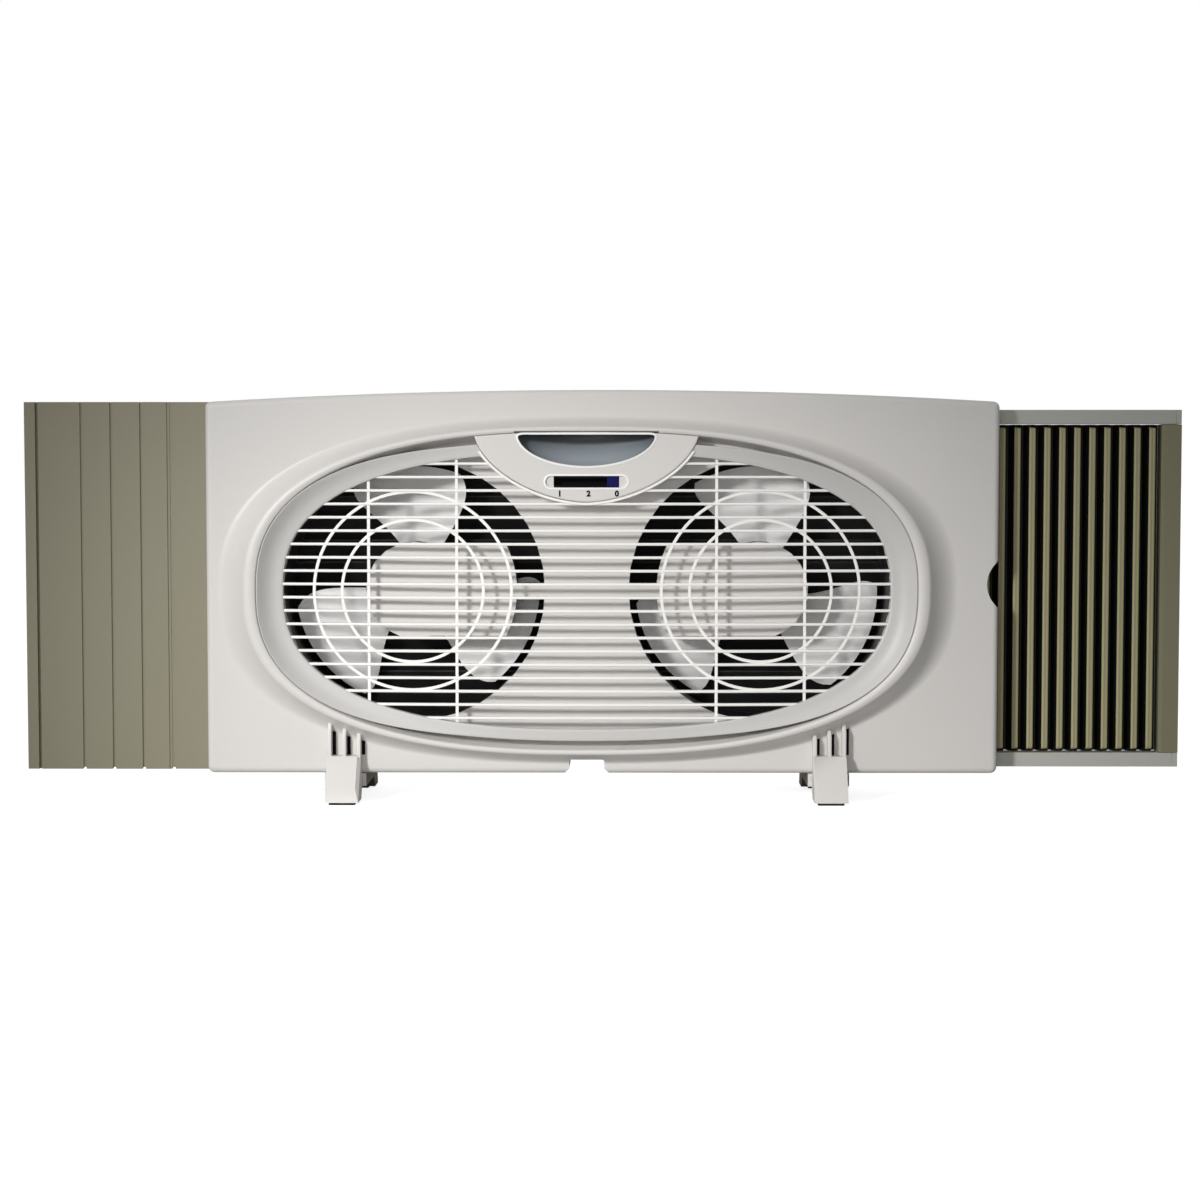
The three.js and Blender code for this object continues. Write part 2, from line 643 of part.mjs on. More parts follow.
function rearHousing() {
  const outer = prism(housingOutline(0), [0, BACK_Y], 4);
  const hollow = prism(housingOutline(WALL), [-OVERSHOOT, BACK_Y - WALL], 4);
  const bosses = Object.values(SCREW_PLACES).map(([x, z]) =>
    rod(BOSS_RADIUS, [0, BACK_Y - WALL / 2], x, z, SCREW_SIDES)
  );
  const holes = Object.values(SCREW_PLACES).map(([x, z]) =>
    rod(SCREW_RADIUS + FIT, [-OVERSHOOT, BACK_Y + OVERSHOOT], x, z, SCREW_SIDES)
  );
  const ducts = Object.values(FAN_X).map((x) =>
    rod(louvreRadius() + FIT, [0, BACK_Y + OVERSHOOT], x, AXIS_Z, DUCT_SIDES)
  );
  const gland = rod(
    GLAND_RADIUS + FIT, [0, BACK_Y + OVERSHOOT], OVAL_X, HOUSING_LIFT + GLAND_LIFT, SMALL_SIDES
  );
  const track = block(
    [HALF_WIDTH - TRACK_LENGTH, HALF_WIDTH - 2 * WALL],
    [RAIL_DEPTH / 6, BACK_Y - WALL / 2],
    [RAIL_TOP_Z + RUNNING, RAIL_TOP_Z + RUNNING + TRACK_THICKNESS]
  );
  const shell = join(cut(outer, hollow), notchSurround([0, BACK_Y]), track, ...bosses);
  return cut(shell, cordNotch(), frameMouth(), gland, ...ducts, ...holes);
}

// ---- Grille

// The grille bows towards the room, level across its height.
function grilleY(x) {
  const share = (x - OVAL_X) / GRILLE_OUTER[0];
  return FACE_Y - GRILLE_END_SETBACK - GRILLE_BOW * (1 - share ** 2);
}

function grilleFrame() {
  const rings = range(OVAL_SIDES).map((k) => {
    const angle = (2 * Math.PI * k) / OVAL_SIDES;
    const corners = [
      [GRILLE_OUTER, -1], [GRILLE_OUTER, 1], [GRILLE_INNER, 1], [GRILLE_INNER, -1]
    ];
    return corners.map(([size, side]) => {
      const [x, z] = ovalPoint(size, angle);
      return [x, grilleY(x) + (side * GRILLE_FRAME_DEPTH) / 2, z];
    });
  });
  return loft(rings, true);
}

function grilleBar(height) {
  const reach = ovalReach(GRILLE_MIDDLE, height);
  const rings = range(BAR_STEPS + 1).map((k) => {
    const x = OVAL_X + reach * ((2 * k) / BAR_STEPS - 1);
    const [y, z] = [grilleY(x), AXIS_Z + height];
    const corners = [[-1, -1], [-1, 1], [1, 1], [1, -1]];
    return corners.map(([a, b]) => [x, y + (a * BAR_DEPTH) / 2, z + (b * BAR_HEIGHT) / 2]);
  });
  return loft(rings, false);
}

function grilleRib(x) {
  const y = grilleY(x);
  const halfHeight = GRILLE_MIDDLE[1] * (ovalReach([1, 1], (x - OVAL_X) / GRILLE_MIDDLE[0]));
  return block(
    [x - RIB_WIDTH / 2, x + RIB_WIDTH / 2],
    [y - RIB_DEPTH / 2, y + RIB_DEPTH / 2],
    [AXIS_Z - halfHeight, AXIS_Z + halfHeight]
  );
}

// A ring is flat, leans with the bow at its fan and narrows to an edge at the back.
function grilleRing(fanX, radius) {
  const lean = (grilleY(fanX + radius) - grilleY(fanX - radius)) / (2 * radius);
  const rings = range(RING_SIDES).map((k) => {
    const angle = (2 * Math.PI * (k + 0.5)) / RING_SIDES;
    const corners = [[-1, -1], [1, -1], [0, 1]];
    return corners.map(([a, b]) => {
      const r = radius + (a * RING_WIDTH) / 2;
      const across = r * Math.cos(angle);
      const y = grilleY(fanX) + lean * across + (b * RIB_DEPTH) / 2;
      return [fanX + across, y, AXIS_Z + r * Math.sin(angle)];
    });
  });
  return loft(rings, true);
}

// Legs behind the frame stand on the duct plate.
function grilleLeg(degrees) {
  const [x, z] = ovalPoint(GRILLE_MIDDLE, THREE.MathUtils.degToRad(degrees));
  const half = LEG_WIDTH / 2;
  const deep = BAR_HEIGHT;
  return block([x - half, x + half], [grilleY(x), BAFFLE_Y - FIT], [z - deep, z + deep]);
}

// A lip round the control panel ends the bars that the panel interrupts.
function grillePanelLip() {
  const y = grilleY(OVAL_X);
  const span = [y - GRILLE_FRAME_DEPTH / 2, y + GRILLE_FRAME_DEPTH / 2];
  const within = prism(ovalShape(GRILLE_MIDDLE), [span[0] - 1, span[1] + 1]);
  return prism(panelOutline(FIT + BAR_HEIGHT), span).intersect(within);
}

function grille() {
  const heights = range(BAR_COUNT).map((k) => (k - (BAR_COUNT - 1) / 2) * BAR_PITCH);
  const fans = Object.values(FAN_X);
  const ribs = fans.flatMap((x) => [x - RIB_OFFSET, x + RIB_OFFSET]);
  const rings = fans.flatMap((x) => RING_RADII.map((radius) => grilleRing(x, radius)));
  const whole = join(
    grilleFrame(),
    ...heights.map(grilleBar),
    ...ribs.map(grilleRib),
    ...rings,
    ...LEG_ANGLES.map(grilleLeg),
    grillePanelLip()
  );
  return whole.subtract(prism(panelOutline(FIT), [CREST_Y - OVERSHOOT, 0]));
}

// ---- Duct plate: the baffle behind the grille, both ducts and their motor pods

function podOutline(side, inset) {
  const x = FAN_X[side];
  const half = POD_ARM_HALF_HEIGHT - inset;
  const radius = POD_RADIUS - inset;
  const reach = POD_ARM_REACH - inset;
  const turn = Math.asin(half / reach);
  const start = Math.acos(half / radius);
  const shape = new THREE.Shape();
  if (side === 'left') {
    shape.absarc(x, AXIS_Z, radius, Math.PI / 2 - start, (3 * Math.PI) / 2 + start, false);
    shape.absarc(x, AXIS_Z, reach, -turn, turn, false);
  } else {
    shape.absarc(x, AXIS_Z, radius, Math.PI / 2 + start, start - Math.PI / 2, true);
    shape.absarc(x, AXIS_Z, reach, Math.PI + turn, Math.PI - turn, true);
  }
  return shape;
}

function motorScrewPlaces(side) {
  const x = FAN_X[side] + INWARD[side] * MOTOR_SCREW_REACH;
  return [-1, 1].map((up) => [x, AXIS_Z + up * MOTOR_SCREW_SPREAD]);
}

function motorPod(side) {
  const shell = prism(podOutline(side, 0), [BAFFLE_Y, POD_BACK_Y], 6);
  const pocket = prism(podOutline(side, WALL), [BAFFLE_Y + WALL, POD_BACK_Y + OVERSHOOT], 6);
  const bosses = motorScrewPlaces(side).map(([x, z]) =>
    rod(BOSS_RADIUS, [BAFFLE_Y + WALL / 2, POD_BACK_Y], x, z, SCREW_SIDES)
  );
  const pilots = motorScrewPlaces(side).map(([x, z]) =>
    rod(
      MOTOR_SCREW_RADIUS + FIT,
      [BRACKET_Y + BRACKET_THICKNESS - MOTOR_SCREW_LENGTH - FIT, POD_BACK_Y + OVERSHOOT],
      x, z, SCREW_SIDES
    )
  );
  return cut(join(cut(shell, pocket), ...bosses), ...pilots);
}

// One bridge carries each pod from the wall of its duct.
function podBridge(side) {
  const ends = [POD_ARM_REACH - WALL, DUCT_RADIUS + DUCT_WALL / 2];
  const xs = ends.map((reach) => FAN_X[side] + INWARD[side] * reach);
  xs.sort((a, b) => a - b);
  const half = BRIDGE_HEIGHT / 2;
  return block(xs, [BAFFLE_Y, POD_BACK_Y], [AXIS_Z - half, AXIS_Z + half]);
}

function ductPlate() {
  const tubeBack = BACK_Y - WALL - FIT;
  const plate = prism(
    ovalShape([0, 1].map((k) => RIM_FOOT[k] + BAFFLE_OVERLAP[k])), [BAFFLE_Y, BAFFLE_Y + WALL]
  );
  const tubes = Object.values(FAN_X).map((x) =>
    rod(DUCT_RADIUS + DUCT_WALL, [BAFFLE_Y, tubeBack], x, AXIS_Z, DUCT_SIDES)
  );
  const bores = Object.values(FAN_X).map((x) =>
    rod(DUCT_RADIUS, [BAFFLE_Y - OVERSHOOT, BACK_Y], x, AXIS_Z, DUCT_SIDES)
  );
  const open = cut(join(plate, ...tubes), ...bores, scoopRoom(GRIP_HEIGHT));
  const sides = Object.keys(FAN_X);
  return join(open, ...sides.map(podBridge), ...sides.map(motorPod));
}

// ---- Motor and impeller

function motor(side) {
  const front = BAFFLE_Y + WALL + FIT;
  const back = BRACKET_Y - FIT;
  const bush = NOSE_Y - BUSH_LENGTH - FIT;
  const bore = bush - SHAFT_BURIED + BUSH_LENGTH - FIT;
  return turned(
    [
      [0, front],
      [MOTOR_RADIUS - WALL, front],
      [MOTOR_RADIUS, front + WALL],
      [MOTOR_RADIUS, back],
      [MOTOR_NOSE_RADIUS, back],
      [MOTOR_NOSE_RADIUS, NOSE_Y],
      [BUSH_RADIUS + FIT, NOSE_Y],
      [BUSH_RADIUS + FIT, bush],
      [SHAFT_RADIUS + FIT, bush],
      [SHAFT_RADIUS + FIT, bore],
      [0, bore]
    ],
    FAN_X[side], AXIS_Z, SMALL_SIDES
  );
}

function motorBush(side) {
  const ends = [NOSE_Y - BUSH_LENGTH, NOSE_Y];
  return tube(SHAFT_RADIUS + FIT, BUSH_RADIUS, ends, FAN_X[side], AXIS_Z, SMALL_SIDES);
}

function motorBracket(side) {
  const ends = [BRACKET_Y, BRACKET_Y + BRACKET_THICKNESS];
  const past = [BRACKET_Y - OVERSHOOT, BRACKET_Y + BRACKET_THICKNESS + OVERSHOOT];
  const nose = rod(MOTOR_NOSE_RADIUS + FIT, past, FAN_X[side], AXIS_Z, SMALL_SIDES);
  const holes = motorScrewPlaces(side).map(([x, z]) =>
    rod(MOTOR_SCREW_RADIUS + FIT, past, x, z, SCREW_SIDES)
  );
  return cut(prism(podOutline(side, 0), ends, 6), nose, ...holes);
}

// A pan-head screw driven from the back: it ends at the tip and its head sits on the seat.
function screw(radius, tip, seat, [x, z]) {
  const under = seat + FIT;
  const headRadius = 2 * radius;
  return turned(
    [
      [0, tip],
      [radius, tip + radius / 2],
      [radius, under],
      [headRadius, under],
      [headRadius - radius / 2, under + SCREW_HEAD_HEIGHT],
      [0, under + SCREW_HEAD_HEIGHT]
    ],
    x, z, SCREW_SIDES
  );
}

function shaft(side) {
  const ends = [NOSE_Y - SHAFT_BURIED, HUB_Y + HUB_LENGTH + FIT + NUT_LENGTH - SHAFT_END_INSET];
  return rod(SHAFT_RADIUS, ends, FAN_X[side], AXIS_Z, SMALL_SIDES);
}

function hub(side) {
  const back = HUB_Y + HUB_LENGTH;
  const bore = SHAFT_RADIUS + FIT;
  return turned(
    [
      [bore, HUB_Y + HUB_WALL],
      [SHAFT_RADIUS + HUB_SLEEVE, HUB_Y + HUB_WALL],
      [SHAFT_RADIUS + HUB_SLEEVE, back - HUB_WALL],
      [HUB_RADIUS - HUB_WALL, back - HUB_WALL],
      [HUB_RADIUS - HUB_WALL, HUB_Y],
      [HUB_RADIUS, HUB_Y],
      [HUB_RADIUS, back - HUB_WALL],
      [HUB_RADIUS - HUB_WALL, back],
      [bore, back],
      [bore, HUB_Y + HUB_WALL]
    ],
    FAN_X[side], AXIS_Z
  );
}

// A wide swept blade: each ring runs once round its section at one radius. The blade climbs
// towards the back from one edge to the other, with a little camber and rounded tip corners.
function blade(side, phaseDegrees) {
  const middleY = HUB_Y + HUB_LENGTH / 2;
  const rings = range(BLADE_ROWS + 1).map((row) => {
    const out = row / BLADE_ROWS;
    const radius = HUB_RADIUS - HUB_WALL / 2 + (TIP_RADIUS - HUB_RADIUS + HUB_WALL / 2) * out;
    const tipNarrowing = Math.sqrt(1 - 0.35 * out ** 8);
    const widening = 0.72 + 0.28 * Math.sin((Math.PI / 2) * out);
    const span = BLADE_SPAN_DEGREES * widening * tipNarrowing;
    const sweep = BLADE_SWEEP_DEGREES * out;
    const face = (across, lift) => {
      const angle = THREE.MathUtils.degToRad(phaseDegrees + sweep + span * across);
      const camber = BLADE_CAMBER * (1 - 4 * across ** 2);
      const y = middleY + BLADE_RISE * across * (0.7 + 0.3 * out) - camber * out + lift;
      const x = FAN_X[side] + radius * Math.cos(angle);
      return [x, y, AXIS_Z + radius * Math.sin(angle)];
    };
    const steps = range(BLADE_COLUMNS + 1).map((k) => k / BLADE_COLUMNS - 0.5);
    const front = steps.map((across) => face(across, -BLADE_THICKNESS / 2));
    const back = steps.map((across) => face(across, BLADE_THICKNESS / 2));
    return [...front, ...back.reverse()];
  });
  return loft(rings, false);
}

function impeller(side) {
  const blades = range(BLADE_COUNT).map((k) =>
    blade(side, BLADE_PHASES[side] + (360 * k) / BLADE_COUNT)
  );
  const core = rod(
    HUB_RADIUS - HUB_WALL, [HUB_Y, HUB_Y + HUB_LENGTH - HUB_WALL], FAN_X[side], AXIS_Z
  );
  return join(hub(side), ...blades.map((one) => one.subtract(core)));
}

function impellerNut(side) {
  const front = HUB_Y + HUB_LENGTH + FIT;
  const hexagon = rod(NUT_RADIUS, [front, front + NUT_LENGTH], FAN_X[side], AXIS_Z, 6);
  const past = [front - OVERSHOOT, front + NUT_LENGTH + OVERSHOOT];
  return hexagon.subtract(rod(SHAFT_RADIUS + FIT, past, FAN_X[side], AXIS_Z, SMALL_SIDES));
}

// ---- Rear louvres

function louvreRadius() {
  return DUCT_RADIUS + LOUVRE_WALL;
}

// Each slat falls towards the outside and hides behind the next, so that rain stays out.
function louvreSlat(x, z) {
  const front = BACK_Y + LOUVRE_FLANGE_THICKNESS;
  const drop = LOUVRE_PITCH + LOUVRE_OVERLAP;
  const reach = louvreRadius();
  const section = [
    [front, z + LOUVRE_THICKNESS],
    [front, z],
    [front + LOUVRE_DEPTH, z - drop],
    [front + LOUVRE_DEPTH, z - drop + LOUVRE_THICKNESS]
  ];
  return loft([x - reach, x + reach].map((end) => section.map(([y, h]) => [end, y, h])), false);
}

function rearLouvre(side) {
  const x = FAN_X[side];
  const outer = louvreRadius();
  const inner = outer - LOUVRE_WALL + FIT;
  const front = BACK_Y - WALL;
  const back = BACK_Y + LOUVRE_FLANGE_THICKNESS + LOUVRE_DEPTH;
  const flange = BACK_Y + FIT;
  const collar = turned(
    [
      [inner, front],
      [outer, front],
      [outer, flange],
      [outer + LOUVRE_FLANGE, flange],
      [outer + LOUVRE_FLANGE, flange + LOUVRE_FLANGE_THICKNESS],
      [outer, flange + LOUVRE_FLANGE_THICKNESS],
      [outer, back],
      [inner, back],
      [inner, front]
    ],
    x, AXIS_Z, DUCT_SIDES
  );
  const drop = (LOUVRE_PITCH + LOUVRE_OVERLAP) / 2;
  const slats = range(LOUVRE_SLATS).map((k) =>
    louvreSlat(x, AXIS_Z + drop + (k - (LOUVRE_SLATS - 1) / 2) * LOUVRE_PITCH)
  );
  const bore = rod(
    outer - FIT, [front - OVERSHOOT, back + OVERSHOOT], x, AXIS_Z, DUCT_SIDES / 2
  );
  return join(collar, join(...slats).intersect(bore));
}

// ---- Control panel, handle scoop and speed switch

// The scoop behind the handle's mouth is a quarter of an ellipsoid, deepest along its top.
function scoopBowl(grow) {
  const ball = new THREE.SphereGeometry(1, 20, 12);
  ball.rotateX(Math.PI / 2);
  ball.scale(GRIP_HALF_WIDTH + grow, GRIP_DEPTH + grow, GRIP_HEIGHT + grow);
  return solid(ball.translate(OVAL_X, PANEL_Y, GRIP_TOP_Z));
}

// The lower half of the bowl, with a low ceiling over it, from a front plane backwards.
function scoopShape(grow, front) {
  const wide = GRIP_HALF_WIDTH + 2 * grow;
  const below = GRIP_HEIGHT + 2 * grow;
  return scoopBowl(grow).intersect(
    block([OVAL_X - wide, OVAL_X + wide], [front, 0], [GRIP_TOP_Z - below, GRIP_TOP_Z + grow])
  );
}

// What the pieces round the scoop give way to, up to a height above the handle's mouth.
function scoopRoom(above) {
  const grow = SCOOP_WALL + FIT;
  const wide = GRIP_HALF_WIDTH + grow;
  return block(
    [OVAL_X - wide, OVAL_X + wide],
    [CREST_Y - OVERSHOOT, PANEL_Y + GRIP_DEPTH + grow],
    [GRIP_TOP_Z - GRIP_HEIGHT - grow, GRIP_TOP_Z + above]
  );
}

function handleScoop() {
  const below = 2 * GRIP_HEIGHT;
  const wide = 2 * GRIP_HALF_WIDTH;
  const hollow = scoopBowl(0).intersect(
    block([OVAL_X - wide, OVAL_X + wide], [PANEL_Y, 0], [GRIP_TOP_Z - below, GRIP_TOP_Z])
  );
  return scoopShape(SCOOP_WALL, WINDOW_Y + FIT).subtract(hollow);
}

function controlPanel() {
  const plateBack = WINDOW_Y;
  const plate = prism(panelOutline(0), [PANEL_Y, plateBack]).intersect(
    prism(ovalShape([RIM[0] - FIT, RIM[1] - FIT]), [PANEL_Y - 1, plateBack + 1])
  );
  const skirtTop = PANEL_TOP_Z - PANEL_SKIRT_TOP;
  const below = PANEL_TOP_Z - 2 * PANEL_HEIGHT;
  const wide = 2 * PANEL_HALF_WIDTH;
  const skirt = cut(
    prism(panelOutline(0), [plateBack - 1, BAFFLE_Y - FIT]),
    prism(panelOutline(-PANEL_WALL), [plateBack - 2, 0]),
    block([OVAL_X - wide, OVAL_X + wide], [CREST_Y, 0], [skirtTop, skirtTop + wide])
  );
  const lower = block([OVAL_X - wide, OVAL_X + wide], [CREST_Y - 3, 0], [below, PANEL_TOP_Z]);
  const grip = prism(gripOutline(), [PANEL_Y - OVERSHOOT, 0]);
  const pill = prism(
    pillOutline(PILL_WIDTH, PILL_HEIGHT, OVAL_X, PILL_Z),
    [PANEL_Y - OVERSHOOT, PANEL_Y + PILL_DEPTH]
  );
  const half = [WINDOW_WIDTH / 2, WINDOW_HEIGHT / 2];
  const window = block(
    [OVAL_X - half[0], OVAL_X + half[0]],
    [PANEL_Y - OVERSHOOT, WINDOW_Y + OVERSHOOT],
    [PILL_Z - half[1], PILL_Z + half[1]]
  );
  return cut(join(plate, skirt).intersect(lower), grip, pill, window);
}

// The switch hangs behind the panel: a dark case with a slot for the slider's stem.
function switchBody() {
  const half = [WINDOW_WIDTH / 2 + SWITCH_WALL, SWITCH_HEIGHT / 2];
  const front = WINDOW_Y + FIT;
  const slot = KNOB_STEM / 2 + RUNNING;
  const slotReach = WINDOW_WIDTH / 2;
  const body = block(
    [OVAL_X - half[0], OVAL_X + half[0]],
    [front, front + SWITCH_DEPTH],
    [PILL_Z - half[1], PILL_Z + half[1]]
  );
  const way = block(
    [OVAL_X - slotReach, OVAL_X + slotReach],
    [front - OVERSHOOT, front + SWITCH_DEPTH - SWITCH_WALL],
    [PILL_Z - slot, PILL_Z + slot]
  );
  return body.subtract(way);
}

function speedSlider() {
  const front = PANEL_Y + PILL_DEPTH - KNOB_PROUD;
  const half = [KNOB_WIDTH / 2, WINDOW_HEIGHT / 2 - FIT];
  const knob = block(
    [KNOB_X - half[0], KNOB_X + half[0]],
    [front, WINDOW_Y],
    [PILL_Z - half[1], PILL_Z + half[1]]
  );
  const stem = block(
    [KNOB_X - KNOB_STEM / 2, KNOB_X + KNOB_STEM / 2],
    [front + KNOB_PROUD, WINDOW_Y + KNOB_STEM_LENGTH],
    [PILL_Z - KNOB_STEM / 2, PILL_Z + KNOB_STEM / 2]
  );
  return join(knob, stem);
}

// ---- Side curtain

function rail(zLow, lip) {
  const half = RAIL_DEPTH / 2;
  const xs = [HALF_WIDTH - RAIL_ENGAGED, FRAME_END_X];
  const body = block(xs, [-half, half], [zLow, zLow + RAIL_HEIGHT]);
  const groove = block(
    [xs[0] - OVERSHOOT, POST_X - FIT],
    [-half + WALL, half - WALL],
    lip > 0 ? [zLow + RAIL_HEIGHT - WALL, zLow + RAIL_HEIGHT + 1] : [zLow - 1, zLow + WALL]
  );
  return body.subtract(groove);
}

function endPost() {
  const half = POST_DEPTH / 2;
  return block(
    [POST_X, FRAME_END_X],
    [-half, half],
    [RAIL_BOTTOM_Z + RAIL_HEIGHT + FIT, RAIL_TOP_Z - RAIL_HEIGHT - FIT]
  );
}

// The pleats run from a flat crest down a steep wall to a narrow valley and up again.
function curtain() {
  const [front, back] = [-PLEAT_DEPTH / 2, PLEAT_DEPTH / 2];
  const slope = (PLEAT_PITCH - PLEAT_CREST - PLEAT_VALLEY) / 2;
  const line = range(PLEAT_COUNT).flatMap((k) => {
    const x = CURTAIN_X + k * PLEAT_PITCH;
    return [
      [x, back],
      [x + slope, front],
      [x + slope + PLEAT_CREST, front],
      [x + 2 * slope + PLEAT_CREST, back]
    ];
  });
  line.push([POST_X - FIT, back]);
  const near = line.map(([x, y]) => new THREE.Vector2(x, y));
  const far = line.map(([x, y], k) => {
    const atEnd = k === 0 || k === line.length - 1;
    const lean = atEnd ? 0 : (k % 4 < 2 ? 1 : -1) * PLEAT_LEAN * PLEAT_SHEET;
    return new THREE.Vector2(x + lean, y + PLEAT_SHEET);
  });
  const shape = new THREE.Shape([...near, ...far.reverse()]);
  const low = RAIL_BOTTOM_Z + RAIL_HEIGHT + FIT;
  const high = RAIL_TOP_Z - RAIL_HEIGHT - FIT;
  const sheet = new THREE.ExtrudeGeometry(shape, { depth: high - low, bevelEnabled: false });
  return solid(sheet.translate(0, 0, low));
}

// A strip in the housing holds the curtain's inner edge.
function curtainAnchor() {
  const x = CURTAIN_X - FIT;
  return block(
    [x - ANCHOR_WIDTH, x],
    [-PLEAT_DEPTH / 2, BACK_Y - WALL - FIT],
    [RAIL_BOTTOM_Z + RAIL_HEIGHT + RUNNING, RAIL_TOP_Z - RAIL_HEIGHT - RUNNING]
  );
}

// ---- Spacer panel

function spacerPanel() {
  const top = SPACER_HIGH_Z;
  const ys = [SPACER_Y, SPACER_Y + SPACER_THICKNESS];
  const end = -HALF_WIDTH - FIT;
  const panel = block([SPACER_X, end], ys, [SPACER_LOW_Z, top]);
  const tongue = block(
    [end - OVERSHOOT, -HALF_WIDTH + SPACER_TONGUE],
    ys,
    [SPACER_LOW_Z + SPACER_TONGUE_INSET, top - SPACER_TONGUE_INSET]
  );
  const groove = (x, width, depth) =>
    block([x, x + width], [SPACER_Y - 1, SPACER_Y + depth], [0, top + OVERSHOOT]);
  const scores = range(SCORE_COUNT).map((k) =>
    groove(SPACER_X + SCORE_FIRST + k * SCORE_PITCH, SCORE_WIDTH, SCORE_DEPTH)
  );
  const edge = groove(
    SPACER_X + SPACER_EDGE_STRIP, SPACER_EDGE_GROOVE, SPACER_EDGE_GROOVE_DEPTH
  );
  const step = groove(end - SPACER_STEP_WIDTH, SPACER_STEP_WIDTH + SPACER_TONGUE + 1,
    SPACER_STEP_DEPTH);
  return cut(join(panel, tongue), ...scores, edge, step);
}

// ---- Feet

function footX(side) {
  return OVAL_X - INWARD[side] * (FLANK_HALF_WIDTH - FOOT_INSET);
}

// A side profile in Y and Z, extruded along X.
function sideways(points, [x0, x1]) {
  const shape = new THREE.Shape(points.map(([y, z]) => new THREE.Vector2(y, z)));
  const slab = new THREE.ExtrudeGeometry(shape, { depth: x1 - x0, bevelEnabled: false });
  slab.rotateX(Math.PI / 2).rotateZ(Math.PI / 2);
  return solid(slab.translate(x0, 0, 0));
}

// Three fins stand on the foot's ledge against the front face, tallest on the outside.
function footFins(side) {
  const width = (FOOT_WIDTH - (FIN_COUNT - 1) * FIN_GAP) / FIN_COUNT;
  const left = footX(side) - FOOT_WIDTH / 2;
  const ledge = HOUSING_LIFT + FOOT_LEDGE_LIFT;
  return range(FIN_COUNT).map((k) => {
    const x = left + k * (width + FIN_GAP);
    const inward = INWARD[side] > 0 ? k : FIN_COUNT - 1 - k;
    return block(
      [x, x + width],
      [FACE_Y - FIT - FIN_DEPTH, FACE_Y - FIT],
      [ledge - OVERSHOOT, HOUSING_LIFT + FIN_LIFT - inward * FIN_DROP]
    );
  });
}

function foot(side) {
  const x = footX(side);
  const face = FACE_Y - FIT;
  const heel = BACK_Y + FIT;
  const ledge = HOUSING_LIFT + FOOT_LEDGE_LIFT;
  const hook = HOUSING_LIFT + FOOT_HEEL_LIFT;
  const sole = PAD_THICKNESS + FIT;
  const front = face + FOOT_BASE_SETBACK;
  const arch = FOOT_TOP_Z - FOOT_ARCH_HEIGHT - FOOT_BASE_SETBACK;
  const toe = sideways(
    [
      [face, FOOT_TOP_Z - WALL],
      [face, ledge],
      [face - FOOT_LEDGE_DEPTH, ledge],
      [-FOOT_REACH + FOOT_TIP_SLOPE, FOOT_BREAK_HEIGHT],
      [-FOOT_REACH, sole],
      [-FOOT_ARCH_REACH, sole],
      [-FOOT_ARCH_REACH + FOOT_ARCH_SLOPE, FOOT_TOP_Z - FOOT_ARCH_HEIGHT]
    ],
    [x - FOOT_WIDTH / 2, x + FOOT_WIDTH / 2]
  );
  const base = sideways(
    [
      [front, FOOT_TOP_Z],
      [front, arch],
      [FOOT_ARCH_REACH - FOOT_ARCH_SLOPE, arch],
      [FOOT_ARCH_REACH, sole],
      [FOOT_REACH, sole],
      [FOOT_REACH - FOOT_TIP_SLOPE, FOOT_BREAK_HEIGHT],
      [heel + 2 * WALL, FOOT_TOP_Z],
      [heel + WALL, hook],
      [heel, hook],
      [heel, FOOT_TOP_Z]
    ],
    [x - FOOT_BASE_WIDTH / 2, x + FOOT_BASE_WIDTH / 2]
  );
  const bite = block(
    [x - FOOT_WIDTH / 2, x + FOOT_WIDTH / 2],
    [face - FIT, face + OVERSHOOT],
    [FOOT_TOP_Z - WALL, FOOT_TOP_Z]
  );
  const body = join(toe, base, bite, ...footFins(side));
  return cut(body, bezelRoom(FIT));
}

// Rubber pads under the toe and the heel.
function footPad(side, end) {
  const x = footX(side);
  const half = FOOT_WIDTH / 2 - PAD_INSET;
  const outer = FOOT_REACH - PAD_INSET;
  const ys = end === 'front' ? [-outer, -outer + PAD_LENGTH] : [outer - PAD_LENGTH, outer];
  return block([x - half, x + half], ys, [0, PAD_THICKNESS]);
}

// ---- Cord gland

function cordGland() {
  const inside = BACK_Y - WALL - GLAND_TAIL;
  const seat = BACK_Y + FIT;
  return turned(
    [
      [GLAND_BORE, inside],
      [GLAND_RADIUS, inside],
      [GLAND_RADIUS, seat],
      [GLAND_FLANGE, seat],
      [GLAND_FLANGE - GLAND_CHAMFER, seat + GLAND_FLANGE_THICKNESS],
      [GLAND_BORE, seat + GLAND_FLANGE_THICKNESS],
      [GLAND_BORE, inside]
    ],
    OVAL_X, HOUSING_LIFT + GLAND_LIFT, SMALL_SIDES
  );
}

// ---- Assembly

function fanSide(side) {
  const group = new THREE.Group();
  group.add(
    piece(`motor_${side}`, motor(side), COLOURS.steel, 0.4, 0.9),
    piece(`motor_bush_${side}`, motorBush(side), COLOURS.brass, 0.35, 1),
    piece(`motor_bracket_${side}`, motorBracket(side), COLOURS.steel, 0.45, 0.9),
    piece(`fan_shaft_${side}`, shaft(side), COLOURS.steel, 0.3, 1),
    piece(`impeller_${side}`, impeller(side), COLOURS.grille, 0.45),
    piece(`impeller_nut_${side}`, impellerNut(side), COLOURS.steel, 0.4, 0.9),
    piece(`rear_louvre_${side}`, rearLouvre(side), COLOURS.dark, 0.7)
  );
  motorScrewPlaces(side).forEach((place, k) => {
    const seat = BRACKET_Y + BRACKET_THICKNESS;
    const body = screw(MOTOR_SCREW_RADIUS, seat - MOTOR_SCREW_LENGTH, seat, place);
    const name = `motor_screw_${side}_${k === 0 ? 'lower' : 'upper'}`;
    group.add(piece(name, body, COLOURS.steel, 0.35, 1));
  });
  return group;
}

